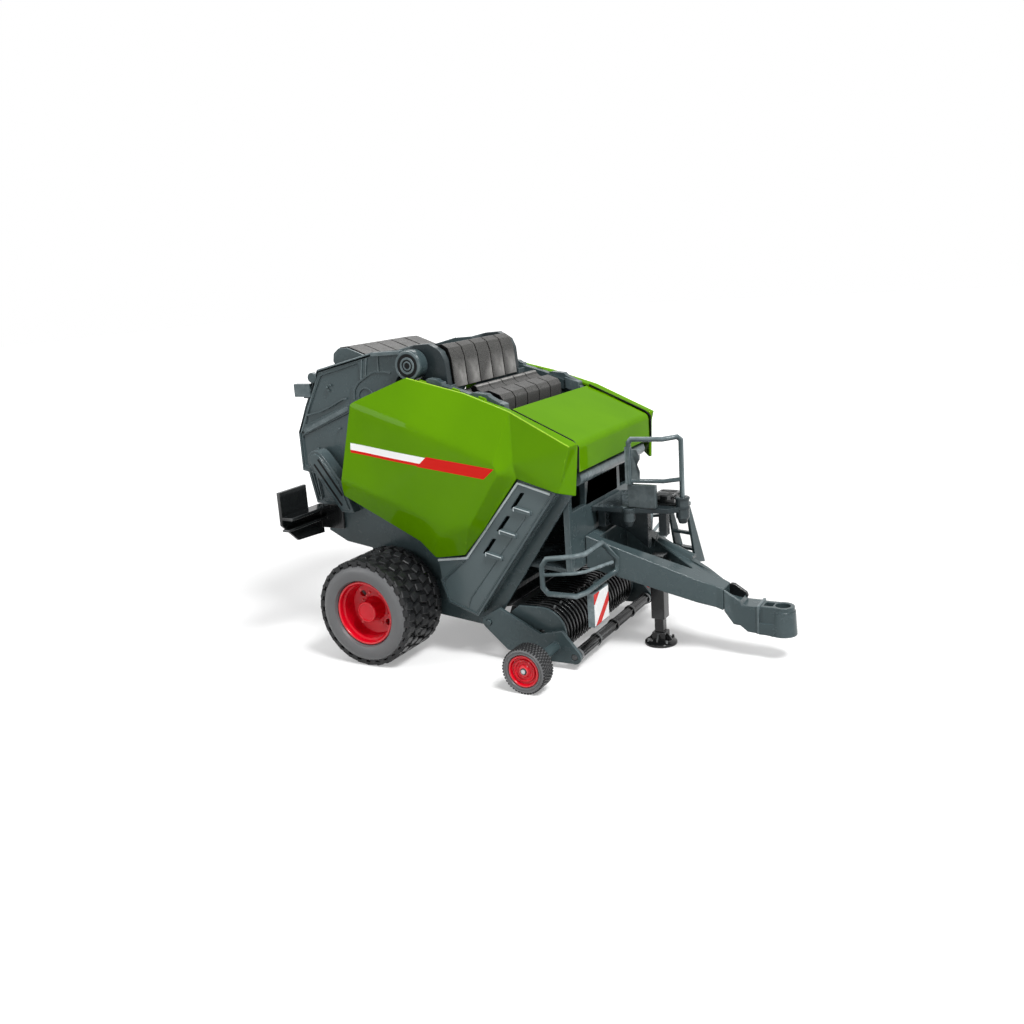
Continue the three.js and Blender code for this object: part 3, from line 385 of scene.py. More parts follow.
def newMaterial(name, look):
    material = bpy.data.materials.new(name)
    material.use_nodes = True
    tree = material.node_tree
    shader = tree.nodes["Principled BSDF"]
    surface = addNode(tree, "ShaderNodeGroup", -600, node_tree=mouldedGroup)
    for label, key in (("Colour", "colour"), ("Shade Colour", "shade"), ("Edge Colour", "edge")):
        surface.inputs[label].default_value = (*look[key], 1)
    for label, key in (("Edge Highlight", "edgeHighlight"), ("Gloss Low", "glossLow"), ("Gloss High", "glossHigh"),
                       ("Grain Scale", "grain"), ("Speckle", "speckle")):
        surface.inputs[label].default_value = look[key]
    tree.links.new(surface.outputs["Colour"], shader.inputs["Base Color"])
    tree.links.new(surface.outputs["Roughness"], shader.inputs["Roughness"])
    bump = addNode(tree, "ShaderNodeBump", -300, -200)
    bump.inputs["Strength"].default_value = look["bump"]
    bump.inputs["Distance"].default_value = look["bumpDepth"] * mm
    tree.links.new(surface.outputs["Height"], bump.inputs["Height"])
    tree.links.new(bump.outputs["Normal"], shader.inputs["Normal"])
    shader.inputs["Metallic"].default_value = look.get("metallic", 0)
    shader.inputs["Coat Weight"].default_value = look.get("coat", 0)
    shader.inputs["Coat Roughness"].default_value = 0.06
    shader.inputs["IOR"].default_value = 1.5
    shader.inputs["Specular IOR Level"].default_value = look.get("specular", 0.5)
    return material


# edge and edgeHighlight give the colour and strength of the painted highlight on sharp edges
looks = {
    "greenPlastic": dict(
        colour=(0.094, 0.237, 0.0004), shade=(0.084, 0.217, 0.0004), edge=(0.42, 0.64, 0.07), edgeHighlight=0.4, glossLow=0.14,
        glossHigh=0.2, grain=900, speckle=0.0, bump=0.02, bumpDepth=0.05, specular=0.0, coat=0.12),
    "slatePlastic": dict(
        colour=(0.047, 0.069, 0.074), shade=(0.039, 0.058, 0.063), edge=(0.25, 0.3, 0.315), edgeHighlight=0.7, glossLow=0.2,
        glossHigh=0.3, grain=1600, speckle=0.02, bump=0.05, bumpDepth=0.05, specular=0.26),
    "shadedSlate": dict(
        colour=(0.02, 0.028, 0.031), shade=(0.016, 0.023, 0.026), edge=(0.19, 0.23, 0.24), edgeHighlight=0.9, glossLow=0.2,
        glossHigh=0.3, grain=1600, speckle=0.02, bump=0.05, bumpDepth=0.05, specular=0.16),
    "blackPlastic": dict(
        colour=(0.008, 0.009, 0.0095), shade=(0.006, 0.0068, 0.0072), edge=(0.2, 0.21, 0.215), edgeHighlight=0.8, glossLow=0.12,
        glossHigh=0.2, grain=1500, speckle=0.01, bump=0.04, bumpDepth=0.05, specular=0.35),
    "beltPlastic": dict(
        colour=(0.03, 0.0297, 0.0288), shade=(0.023, 0.0228, 0.0222), edge=(0.3, 0.295, 0.285), edgeHighlight=0.9, glossLow=0.26,
        glossHigh=0.4, grain=2300, speckle=0.36, bump=0.6, bumpDepth=0.12, specular=0.06),
    "redPlastic": dict(
        colour=(0.6, 0.002, 0.014), shade=(0.54, 0.002, 0.012), edge=(0.9, 0.2, 0.2), edgeHighlight=0.7, glossLow=0.16,
        glossHigh=0.24, grain=900, speckle=0.0, bump=0.02, bumpDepth=0.05, specular=0.3),
    "tyreRubber": dict(
        colour=(0.0085, 0.0088, 0.0095), shade=(0.006, 0.0063, 0.0068), edge=(0.1, 0.103, 0.107), edgeHighlight=0.12,
        glossLow=0.28, glossHigh=0.42, grain=1300, speckle=0.03, bump=0.15, bumpDepth=0.06, specular=0.25),
    # tyre sides in a rubber far lighter than the tread's: painted light on the sidewalls
    "sidewallRubber": dict(
        colour=(0.105, 0.107, 0.11), shade=(0.085, 0.087, 0.09), edge=(0.2, 0.205, 0.21), edgeHighlight=0.4, glossLow=0.36,
        glossHigh=0.5, grain=1300, speckle=0.05, bump=0.12, bumpDepth=0.05),
    # a lighter copy of the slate for the side covers: painted light on them
    "coverSlate": dict(
        colour=(0.076, 0.102, 0.109), shade=(0.064, 0.088, 0.094), edge=(0.2, 0.24, 0.25), edgeHighlight=0.0, glossLow=0.18,
        glossHigh=0.26, grain=1600, speckle=0.02, bump=0.05, bumpDepth=0.05, specular=0.3),
    # pale green for the ridge bead: a painted highlight
    "highlightGreen": dict(
        colour=(0.27, 0.47, 0.02), shade=(0.22, 0.41, 0.01), edge=(0.4, 0.6, 0.07), edgeHighlight=0.3, glossLow=0.14,
        glossHigh=0.2, grain=900, speckle=0.0, bump=0.02, bumpDepth=0.05, specular=0.2),
    # pale slate for the lips: a painted highlight
    "lipHighlight": dict(
        colour=(0.4, 0.45, 0.465), shade=(0.34, 0.39, 0.4), edge=(0.55, 0.6, 0.62), edgeHighlight=0.9, glossLow=0.2,
        glossHigh=0.3, grain=1600, speckle=0.02, bump=0.05, bumpDepth=0.05),
    # near black for gaps and hollows: painted shade
    "hollowShade": dict(
        colour=(0.004, 0.0045, 0.005), shade=(0.003, 0.0033, 0.0036), edge=(0.01, 0.01, 0.011), edgeHighlight=0.0, glossLow=0.4,
        glossHigh=0.5, grain=1500, speckle=0.02, bump=0.04, bumpDepth=0.05, specular=0.1),
    "drawnSteel": dict(
        colour=(0.46, 0.47, 0.48), shade=(0.38, 0.39, 0.4), edge=(0.75, 0.76, 0.78), edgeHighlight=0.4, glossLow=0.22,
        glossHigh=0.36, grain=2400, speckle=0.1, bump=0.15, bumpDepth=0.03, metallic=1),
}
materials = {name: newMaterial(name, look) for name, look in looks.items()}
print("materials ready")


def axisOf(tree, axis):  # millimetres along one axis, from the main axle's line on the ground
    where = addNode(tree, "ShaderNodeTexCoord").outputs["Object"]
    split = addNode(tree, "ShaderNodeSeparateXYZ")
    tree.links.new(where, split.inputs["Vector"])
    value = mathNode(tree, "MULTIPLY", split.outputs[axis], 1000)
    return mathNode(tree, "SUBTRACT", value, axleX * 1000) if axis == "X" else value


def inRange(tree, value, low, high):
    above = mathNode(tree, "GREATER_THAN", value, low)
    below = mathNode(tree, "LESS_THAN", value, high)
    return mathNode(tree, "MULTIPLY", above, below)


panelBand = {
    "slope": 0.13, "white": (130.3, 134.5), "line": (128.6, 130.3), "red": (128.1, 135.2),
    "whiteStart": -14.5, "whiteEnd": 39.0, "redStart": 39.0, "redEnd": 84.5, "middle": 132,
    "whiteColour": (0.8, 0.8, 0.8), "redColour": (0.56, 0.012, 0.008),
}


def makePanelMaterial():  # the green plastic with its printed band: white bar, red line, red bar
    material = materials["greenPlastic"].copy()
    material.name = "printedPanel"
    tree = material.node_tree
    shader = tree.nodes["Principled BSDF"]
    ground = shader.inputs["Base Color"].links[0].from_socket
    x, z = axisOf(tree, "X"), axisOf(tree, "Z")
    band = mathNode(tree, "ADD", z, mathNode(tree, "MULTIPLY", x, panelBand["slope"]))
    leaning = mathNode(tree, "SUBTRACT", x, mathNode(tree, "SUBTRACT", band, panelBand["middle"]))
    geometry = addNode(tree, "ShaderNodeNewGeometry")
    split = addNode(tree, "ShaderNodeSeparateXYZ")
    tree.links.new(geometry.outputs["Normal"], split.inputs["Vector"])
    outward = mathNode(tree, "GREATER_THAN", mathNode(tree, "MULTIPLY", split.outputs["Y"], axisOf(tree, "Y")), 0)
    upright = mathNode(tree, "GREATER_THAN", x, panelBand["whiteStart"])
    bar = mathNode(tree, "MULTIPLY", upright, mathNode(tree, "LESS_THAN", leaning, panelBand["whiteEnd"]))
    bar = mathNode(tree, "MULTIPLY", bar, outward)
    white = mathNode(tree, "MULTIPLY", bar, inRange(tree, band, *panelBand["white"]))
    line = mathNode(tree, "MULTIPLY", bar, inRange(tree, band, *panelBand["line"]))
    block = mathNode(tree, "MULTIPLY", inRange(tree, leaning, panelBand["redStart"], panelBand["redEnd"]),
                     inRange(tree, band, *panelBand["red"]))
    block = mathNode(tree, "MULTIPLY", block, outward)
    red = mathNode(tree, "MAXIMUM", line, block)
    colour = mixColours(tree, white, ground, panelBand["whiteColour"])
    colour = mixColours(tree, red, colour, panelBand["redColour"])
    tree.links.new(colour, shader.inputs["Base Color"])
    return material


signStripes = {
    "slant": 0.81, "start": 65.2, "pitch": 20.0, "redShare": 0.32,
    "white": (0.82, 0.82, 0.82), "red": (0.6, 0.02, 0.015),
}


def makeSignMaterial():  # the guards' signs: slanting red and white stripes on the front face
    s = signStripes
    material = materials["slatePlastic"].copy()
    material.name = "stripedSign"
    tree = material.node_tree
    shader = tree.nodes["Principled BSDF"]
    y, z = axisOf(tree, "Y"), axisOf(tree, "Z")
    outwards = mathNode(tree, "ABSOLUTE", y)
    run = mathNode(tree, "ADD", mathNode(tree, "MULTIPLY", outwards, s["slant"]), z)
    turns = mathNode(tree, "DIVIDE", mathNode(tree, "SUBTRACT", run, s["start"]), s["pitch"])
    stripe = mathNode(tree, "LESS_THAN", mathNode(tree, "FRACT", turns), s["redShare"])
    colour = mixColours(tree, stripe, s["white"], s["red"])
    tree.links.new(colour, shader.inputs["Base Color"])
    return material


beltSizes = {"pitch": 16, "gap": 1.1, "gapColour": (0.002, 0.002, 0.002)}


def darkenBeltGaps():  # the gaps between belts hold no light
    pitch = beltSizes["pitch"]
    tree = materials["beltPlastic"].node_tree
    shader = tree.nodes["Principled BSDF"]
    ground = shader.inputs["Base Color"].links[0].from_socket
    turn = mathNode(tree, "FRACT", mathNode(tree, "DIVIDE", axisOf(tree, "Y"), pitch))
    away = mathNode(tree, "MULTIPLY", mathNode(tree, "ABSOLUTE", mathNode(tree, "SUBTRACT", turn, 0.5)), pitch)
    gap = mathNode(tree, "LESS_THAN", away, beltSizes["gap"] / 2)
    tree.links.new(mixColours(tree, gap, ground, beltSizes["gapColour"]), shader.inputs["Base Color"])


darkenBeltGaps()
materials["printedPanel"] = makePanelMaterial()
materials["stripedSign"] = makeSignMaterial()

slotOf = {part["node"]: part["material_slot"] for part in frame["record"]["subparts"]}
materialOf = {"green_plastic": "greenPlastic", "slate_plastic": "slatePlastic", "black_plastic": "blackPlastic",
              "belt_plastic": "beltPlastic", "red_plastic": "redPlastic", "tyre": "tyreRubber", "steel": "drawnSteel"}
bodyOf = {node: body for body, members in frame["record"]["behaviour"]["bodies"].items() for node in members}
for node, piece in frame["nodes"].items():
    piece.data.materials.clear()
    piece.data.materials.append(materials[materialOf[slotOf[node]]])


def copyOfNode(node):  # a merged copy of a frame node, to be refined and shown in its place
    clearSelection()
    source = frame["nodes"][node]
    piece = bpy.data.objects.new(node + "Body", source.data.copy())
    bpy.context.scene.collection.objects.link(piece)
    piece.data.materials.clear()
    editAll(piece)
    bpy.ops.mesh.remove_doubles(threshold=0.01 * mm)
    bpy.ops.mesh.dissolve_limited(angle_limit=math.radians(0.6))
    leaveEdit()
    return piece


def standFor(piece, node, look=None):
    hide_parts(node)
    return place(piece, node + "Body", bodyOf[node], look or materialOf[slotOf[node]])


for node in ("jack_tube", "light_carrier_right", "light_carrier_left"):  # these three are shown in black plastic in place of their recorded slot
    slotOf[node] = "black_plastic"
lookOf = {node: "shadedSlate" for node in ("cabinet", "platform", "intake_floor", "intake_roof", "pivot_frame")}
# the side covers get the lighter slate: painted light
lookOf.update(side_cover_right="coverSlate", side_cover_left="coverSlate")


def placePair(piece, name, body, look):  # one on each side
    for side in ("right", "left"):
        make = copyOf if side == "right" else mirrored
        place(make(piece, name), f"{name}_{side}", body, look)
    bpy.data.objects.remove(piece)


# plain mouldings: the frame's own shapes with their edges rounded
roundings = {
    "front_frame": (0.4, 2, 35), "intake_roof": (0.3, 2, 35), "intake_floor": (0.3, 2, 35),
    "pivot_frame": (0.4, 2, 35), "drawbar": (0.7, 3, 25), "hitch_ring": (0.4, 2, 35), "jack_tube": (0.35, 2, 35),
    "jack_leg": (0.35, 2, 35), "platform": (0.4, 2, 35), "cabinet": (0.5, 2, 35), "toolbox": (0.35, 2, 35),
    "ladder": (0.3, 2, 35), "belts_upper": (0.45, 3, 30), "belts_lower": (0.4, 3, 30), "belts_rear": (0.4, 3, 30),
    "tailgate_crossbar": (0.35, 2, 35), "pickup_bands": (0.28, 2, 35), "axle": (0.4, 2, 35),
    "chamber_belts_front": (0.3, 2, 35), "chamber_belts_rear": (0.3, 2, 35), "floor_roller": (0.3, 2, 35),
}
for side in ("right", "left"):
    roundings.update({f"chamber_wall_{side}": (0.35, 2, 35), f"side_cover_{side}": (0.5, 3, 30),
                      f"light_carrier_{side}": (0.35, 2, 35), f"pickup_plate_{side}": (0.35, 2, 35)})
for node, (width, segments, angle) in roundings.items():
    piece = copyOfNode(node)
    roundEdges(piece, width, segments, angle)
    smoothBy(piece)
    standFor(piece, node, lookOf.get(node))
for node in ("railing", "front_guard_right", "front_guard_left", "press_roller", "tine_reel"):
    piece = copyOfNode(node)
    smoothBy(piece, 50)
    standFor(piece, node)
print("mouldings rounded")


# hood: one bent sheet with a rounded front edge
hoodSizes = {
    "half": 54, "rear": (89, 155), "bend": (127.5, 132.6), "bendRadius": 5, "wall": 2, "slope": 66.3, "low": 119.7,
}


def makeHood():
    s = hoodSizes
    (bendX, bendZ), (rearX, rearZ) = s["bend"], s["rear"]
    outer = arcOf(bendX, bendZ, s["bendRadius"], s["slope"], 0, 8)
    inner = arcOf(bendX, bendZ, s["bendRadius"] - s["wall"], 0, s["slope"], 6)
    low = [(bendX + s["bendRadius"], s["low"]), (bendX + s["bendRadius"] - s["wall"], s["low"])]
    crown = [(rearX, rearZ), (rearX + 14, rearZ - 5.9), (rearX + 27, rearZ - 11.7)]
    hood = plateOf(crown + outer + low + inner + [(rearX - 0.4, rearZ - 2.2)], -s["half"], s["half"])
    roundEdges(hood, 0.45, 3, 50)
    splitLongEdges(hood, 6)
    smoothBy(hood, 35)
    return standFor(hood, "hood")


makeHood()
print("hood bent")


# tailgate ribs: a rim, a slotted strip, arms and rings, inside the chamber walls when it shuts
gateSizes = {"face": -49.0, "proud": -49.7, "pocket": -48.0}
gateRim = [
    (-38.5, 96.5), (-54.0, 91.2), (-64.6, 91.8), (-69.0, 112.4), (-73.9, 113.6), (-73.9, 137.0), (-66.1, 154.2),
    (-53.0, 177.6), (-8, 187.9), (10, 188.6),
]
gatePockets = [
    [(-68.5, 143.2), (-63.9, 153.2), (-51.8, 174.9), (-20.5, 182.6), (-20.5, 172.5), (-27.6, 168), (-29.6, 157.6)],
    [(-71.9, 135.2), (-71.9, 115.8), (-67.4, 114.6), (-63.2, 94.3), (-54.4, 93.6), (-40.2, 99.4), (-12, 145.5),
     (-30.5, 151.6)],
]
gateStrip = [(-70.6, 139.6), (-31.2, 155.9), (-31.9, 152.9), (-69.8, 137.0)]
gateRibs = [  # each rib's width and the points that it follows
    (1.1, [(-66.5, 149.3), (-61.3, 150.5), (-55.5, 151.6), (-48, 154.3), (-36, 159.8), (-32.5, 160.4)]),
    (1.3, [(4, 176.6), (-2, 177.4), (-7.6, 177.3), (-12, 176.1), (-21.5, 170.6), (-25, 166.2), (-26, 160)]),
    (1.0, [(-16.9, 186), (-19.2, 172.4)]),
    (0.9, [(-13.3, 186.6), (-15.4, 174.8)]),
    (1.0, [(-4.6, 187.4), (-5.2, 177.6)]),
    (1.0, arcOf(-16.6, 161.5, 5.6, 0, 330, 16)),
    (1.0, [(-74.5, 112.6), (-63.6, 110.6), (-61.2, 93)]),
]
gatePivot = (20.8, 181.3)
gateStuds = ((-47.5, 167.5), (-44.6, 168.9), (-46.4, 165.4), (-60.2, 127.0), (-40.6, 140.6))


def makeTailgateRibs():
    face, proud = gateSizes["face"] + 0.4, gateSizes["proud"]
    ribs = [ribOf(gateRim, 1.5, proud, face), ribOf(gateStrip, 0.9, proud, face, True)]
    ribs += [ribOf(points, width, proud, face) for width, points in gateRibs]
    ribs += [rodOf(x, z, 0.75, proud + 0.1, face, 14) for x, z in gateStuds]
    return finished(ribs, "tailgateRibs", 0.2, angle=40, smooth=None)


def makeBossRings():  # about the tailgate's hinge
    rings = [
        spun([(9.0, -54.6), (8.7, -55.1), (7.5, -55.1), (7.2, -54.7), (7.2, -53), (9.0, -53)], *gatePivot, 48),
        spun([(5.3, -54.9), (5.0, -55.4), (3.9, -55.4), (3.6, -54.9), (3.6, -54.2), (5.3, -54.2)], *gatePivot, 40),
        spun([(2.9, -54.9), (2.7, -55.3), (2.0, -55.3), (1.8, -54.9), (1.8, -54.2), (2.9, -54.2)], *gatePivot, 32),
    ]
    return joined(rings, "bossRings")


def makeBossWell():  # the hollow that the rings stand in, near black: painted shade
    well = spun([(0, -54.9), (1.2, -55.05), (7.1, -55.05), (7.1, -54.3), (0, -54.3)], *gatePivot, 40)
    smoothBy(well)
    return well


def makeTailgate():
    piece = copyOfNode("tailgate_wall_right")
    for pocket in gatePockets:
        cut(piece, plateOf(pocket, gateSizes["face"] - 2, gateSizes["pocket"]))
    roundEdges(piece, 0.35, 2, 35)
    smoothBy(piece)
    details = joined([makeTailgateRibs(), makeBossRings()], "tailgateDetails")
    smoothBy(details, 35)
    for side in ("right", "left"):
        make = copyOf if side == "right" else mirrored
        standFor(make(piece, "gate"), f"tailgate_wall_{side}")
        half = make(details, "details")
        place(half, f"tailgateDetails_{side}", "tailgate", "slatePlastic")
    bpy.data.objects.remove(piece)
    bpy.data.objects.remove(details)


makeTailgate()
placePair(makeBossWell(), "bossWell", "tailgate", "hollowShade")
print("tailgate ribbed")


# side covers
def makeCoverTrim():  # a raised border round the face, and a low rib near the foot
    face, proud = -63.4, -64.3
    border = [(96.8, 113.6), (59, 66.2), (39.7, 49.4), (43.4, 36.8), (62.2, 30.6), (118.2, 108.2)]
    trim = [ribOf(border, 1.1, proud, face, True)]
    trim.append(ribOf([(56.2, 33.4), (59.2, 40.4), (100.5, 93.8)], 0.9, proud + 0.3, face))
    return finished(trim, "coverTrim", 0.22, angle=40)


placePair(makeCoverTrim(), "coverTrim", "chassis", "slatePlastic")


def makeCoverGusset():  # the cover's flat ear under the side panel
    ear = plateOf([(58.4, 66.4), (37.4, 63.2), (38.6, 49.4), (41, 48.2)], -63.3, -61.3)
    return finished([ear], "coverGusset", 0.3)


def makeCoverLip():  # the lip that the side panel closes against, and those of the three steps, in a pale slate that paints a highlight along them
    lips = [ribOf([(117.6, 108.4), (97.0, 114.0), (58.6, 65.8), (37.6, 62.8)], 1.5, -64.7, -63.3)]
    for x, z in ((99, 101.5), (88.5, 87), (78, 72.5)):
        lips.append(ribOf([(x - 5.2, z - 4.2), (x - 5.2, z - 1.9), (x + 5.2, z - 4.3)], 0.7, -65.8, -65.2))
    return finished(lips, "coverLip", 0.2)


placePair(makeCoverGusset(), "coverGusset", "chassis", "coverSlate")
placePair(makeCoverLip(), "coverLip", "chassis", "lipHighlight")


def makeGuideGrooves():  # near-black strips in the gaps between the bars of the rear guides: painted shade
    lines = ([(-54.9, 119.2), (-35.4, 92.6)], [(-51.4, 122.6), (-34.4, 99.2)])
    grooves = [ribOf(line, 1.4, -61.15, -60.8) for line in lines]
    return finished(grooves, "guideGrooves", 0.1, smooth=None)


placePair(makeGuideGrooves(), "guideGrooves", "chassis", "hollowShade")
print("side covers trimmed")


# rails beside the belts: stepped clips, green tabs of the panels, and a black strip and bead along the gap beside the
# hood, painted shade
clipSizes = {
    "rear": [(34, 169.6), (34.6, 173.7), (40.6, 172.9), (42.2, 171.6), (44.4, 171.2), (44.4, 167.4)],
    "front": [(63.4, 160.2), (63.4, 164.4), (66, 165.2), (74.6, 164.2), (76.4, 162.4), (83.4, 158.9), (83.4, 153.4)],
    "inner": -49.4, "outer": -54.5,
}
tabSizes = {"places": ((31.6, 171.5), (54.6, 166.6), (72.4, 161.6)), "half": 2.6, "fall": 0.26, "rise": 0.9}


def makeRailClips():
    clips = [plateOf(clipSizes[name], clipSizes["outer"], clipSizes["inner"]) for name in ("rear", "front")]
    return finished(clips, "railClips", 0.3)


def makePanelTabs():
    tabs = []
    half, fall, rise = tabSizes["half"], tabSizes["fall"], tabSizes["rise"]
    for x, z in tabSizes["places"]:
        corners = [(x - half, z + half * fall - 1.5), (x - half + 0.4, z + half * fall + rise),
                   (x + half - 0.4, z - half * fall + rise), (x + half, z - half * fall - 1.5)]
        tabs.append(plateOf(corners, -56.4, -54.5))
    return finished(tabs, "panelTabs", 0.25)


# a black strip along the gap between hood and side panel: painted shade
def makeHoodShadeStrip():
    outline = [(90, 154.0), (127.5, 137.4), (131.3, 134), (131.3, 121), (129.4, 121), (127, 132), (90, 148.5)]
    return finished([plateOf(outline, -55.3, -54.1)], "hoodShadeStrip", 0.2, smooth=38)


placePair(makeRailClips(), "railClips", "chassis", "slatePlastic")
placePair(makePanelTabs(), "panelTabs", "chassis", "greenPlastic")
placePair(makeHoodShadeStrip(), "hoodShadeStrip", "chassis", "blackPlastic")
# a near-black bead along the same gap: painted shade
gapShadeBead = beadOf([(91, -54.75, 155.3), (129.6, -55.6, 137.9), (132.9, -56.0, 134.6), (132.6, -56.6, 120)], 0.55)
placePair(gapShadeBead, "hoodShadeBead", "chassis", "hollowShade")
# a pale green bead along the side panel's top ridge: a painted highlight
ridgeHighlightBead = beadOf([(22, -58.75, 174.3), (62, -59.25, 165.1), (93, -61.75, 154.9), (131.5, -65.35, 136.3)], 0.42)
placePair(ridgeHighlightBead, "panelRidgeHighlight", "chassis", "highlightGreen")

# a black sheet under the belts, painted shade over the chamber's opening, and the apron behind the pick-up
shadeSheet = plateOf([(40.5, 160.9), (62, 155.6), (62, 154.6), (40.5, 159.9)], -48.7, 48.7)
shadeSheet = finished([shadeSheet], "chamberShadeSheet", 0.2, smooth=None)
place(shadeSheet, "chamberShadeSheet", "chassis", "blackPlastic")
apron = plateOf([(65, 31.2), (72, 32.3), (79, 33.6), (79, 32.4), (72, 31.0), (65, 30.0)], -49.6, 49.6)
apron = finished([apron], "pickupApron", 0.2, smooth=None)
place(apron, "pickupApron", "pickup", "blackPlastic")
print("rails, paintedLines and lid made")


# signs on the front guards
signSizes = {"front": 137.5, "thick": 0.35, "near": 34.6, "far": 54.7, "low": 27.6, "high": 46.9}
for side, sign in (("right", -1), ("left", 1)):
    s = signSizes
    y0, y1 = sorted((sign * s["near"], sign * s["far"]))
    face = blockOf(s["front"] - 0.2, s["front"] + s["thick"], y0, y1, s["low"], s["high"])
    roundEdges(face, 0.15, 2, 40)
    smoothBy(face)
    place(face, f"signFace_{side}", "chassis", "stripedSign")
print("signs set")


# side panels
panelSizes = {"rounds": 14, "edge": 0.6, "ridge": 28}


def makeSidePanel(node):
    piece = copyOfNode(node)
    editAll(piece)
    bpy.ops.mesh.quads_convert_to_tris()
    leaveEdit()
    rimEdges = sharpVertices(piece, panelSizes["ridge"])
    roundEdges(piece, panelSizes["edge"], 3, panelSizes["ridge"])
    for length in (9, 4.5, 2.6):
        splitLongEdges(piece, length)
    soft = piece.vertex_groups.new(name="soft")
    for vertex in piece.data.vertices:
        nearest = min(nearEdge(vertex.co, edge) for edge in rimEdges)
        soft.add([vertex.index], min(1.0, nearest / (3 * mm)), "REPLACE")
    modify(piece, "SMOOTH", factor=0.5, iterations=panelSizes["rounds"], vertex_group="soft")
    smoothBy(piece, 55)
    return standFor(piece, node, "printedPanel")


def sharpVertices(piece, angle):  # the ends of each edge sharper than the angle
    mesh = piece.data
    normalsOf = {}
    for face in mesh.polygons:
        for key in face.edge_keys:
            normalsOf.setdefault(key, []).append(face.normal)
    limit = math.radians(angle)
    return [(mesh.vertices[a].co.copy(), mesh.vertices[b].co.copy()) for (a, b), pair in normalsOf.items()
            if len(pair) == 2 and pair[0].angle(pair[1], 0) > limit]


def nearEdge(point, edge):
    start, end = edge
    along = end - start
    share = max(0, min(1, (point - start).dot(along) / along.length_squared))
    return (start + along * share - point).length


for side in ("right", "left"):
    makeSidePanel(f"side_panel_{side}")
print("side panels smoothed")


# main wheels
wheelSizes = {
    "radius": 34.0, "inner": 57.0, "width": 39.5, "rim": 20.5, "carcass": 32.3, "ground": 31.2,
    "lugs": 28, "lugLength": 5.3, "lugWidth": 6.7, "lugSlant": 15,
    "rows": ((-15.0, 0.0), (-7.5, 0.5), (0.0, 0.0), (7.5, 0.5), (15.0, 0.0)),
}


def makeMainTyre():
    s = wheelSizes
    near, far = -s["inner"], -(s["inner"] + s["width"])
    r, seat = s["carcass"], s["rim"] + 0.2
    bodyProfile = [
        (seat, near - 2.5), (seat + 0.8, near - 0.4), (23.4, near + 0.4), (26.4, near + 0.6), (29.0, near - 0.2),
        (30.8, near - 2.0), (r - 0.3, near - 4.2), (r, near - 7), (r, far + 7), (r - 0.3, far + 4.2),
        (30.8, far + 2.0), (29.0, far + 0.2), (26.4, far - 0.6), (23.4, far - 0.4), (seat + 0.8, far + 0.4),
        (seat, far + 2.5), (seat + 2, far + 6), (seat + 2, near - 6),
    ]
    carcass = spun(bodyProfile, 0, s["radius"], 72)
    smoothBy(carcass, 40)
    middle, top = (near + far) / 2, 2 * s["radius"]
    halfLong, halfWide = s["lugLength"] / 2, s["lugWidth"] / 2
    lug = blockOf(-halfLong, halfLong, middle - halfWide, middle + halfWide, top - 2.4, top - 0.1)
    editAll(lug)
    bpy.ops.mesh.select_all(action="DESELECT")
    leaveEdit()
    for face in lug.data.polygons:
        face.select = face.normal.z > 0.5
    bpy.ops.object.mode_set(mode="EDIT")
    bpy.ops.mesh.select_mode(type="FACE")
    bpy.ops.transform.resize(value=(0.82, 0.9, 1), center_override=at(0, middle, top))
    leaveEdit()
    roundEdges(lug, 0.35, 1, 30)
    turn, back = [turnAt(at(0, middle, 0), slant, "Z") for slant in (s["lugSlant"], -s["lugSlant"])]
    lugs = []
    step = 360 / s["lugs"]
    for row, (offset, phase) in enumerate(s["rows"]):
        for i in range(s["lugs"]):
            slide = Matrix.Translation((0, offset * mm, 0))
            move = turnAbout(0, s["radius"], (i + phase) * step) @ slide @ (turn if row % 2 else back)
            lugs.append(copyOf(lug, "lug", move))
    outline = [(-1.9, top - 4.9), (1.9, top - 4.9), (2.3, top - 0.7), (-2.3, top - 0.7)]
    shoulderLug = plateOf(outline, far + 1.1, far + 5)
    roundEdges(shoulderLug, 0.3, 1, 30)
    across = Matrix.Translation((0, (near - far - 6.1) * mm, 0))
    for i in range(s["lugs"]):
        move = turnAbout(0, s["radius"], (i + 0.5) * step)
        lugs.append(copyOf(shoulderLug, "lug", move))
        lugs.append(copyOf(shoulderLug, "lug", move @ across))
    bpy.data.objects.remove(lug)
    bpy.data.objects.remove(shoulderLug)
    tread = joined(lugs, "mainTread")
    smoothBy(tread, 30)
    return carcass, tread


def makeMainRim():
    s = wheelSizes
    near, far = -s["inner"], -(s["inner"] + s["width"])
    lip = s["rim"] - 0.1
    profile = [
        (3.4, near - 6), (8, near - 6), (8.4, far + 17.2), (lip - 3.6, far + 15.4), (lip - 3.2, near - 2.2),
        (lip, near - 2), (lip, far + 2.6), (lip - 0.5, far + 2.0), (lip - 1.4, far + 2.1), (lip - 1.9, far + 3.0),
        (lip - 2.0, far + 5.0), (lip - 2.9, far + 5.8), (lip - 3.2, far + 11), (lip - 4.2, far + 13.2),
        (9.4, far + 14.6), (7.6, far + 14.0), (7.0, far + 12.5), (6.6, far + 4.6), (6.0, far + 4.0),
        (5.4, far + 4.0), (5.2, far + 4.4), (0, far + 4.4), (0, far + 6.4), (3.4, far + 6.4),
    ]
    rim = spun(profile, 0, s["radius"], 64)
    for i in range(4):
        hole = rodOf(0, s["radius"] + 12.2, 2.1, far + 8, far + 20, 24)
        hole.data.transform(turnAbout(0, s["radius"], 45 + i * 90))
        cut(rim, hole)
    bolt = rodOf(0, s["radius"] + 10.2, 0.8, far + 13.6, far + 15, 6)
    roundEdges(bolt, 0.2, 1, 30)
    bolts = [copyOf(bolt, "bolt", turnAbout(0, s["radius"], 22.5 + i * 45)) for i in range(8)]
    bpy.data.objects.remove(bolt)
    smoothBy(rim, 35)
    return joined([rim] + bolts, "mainRim")


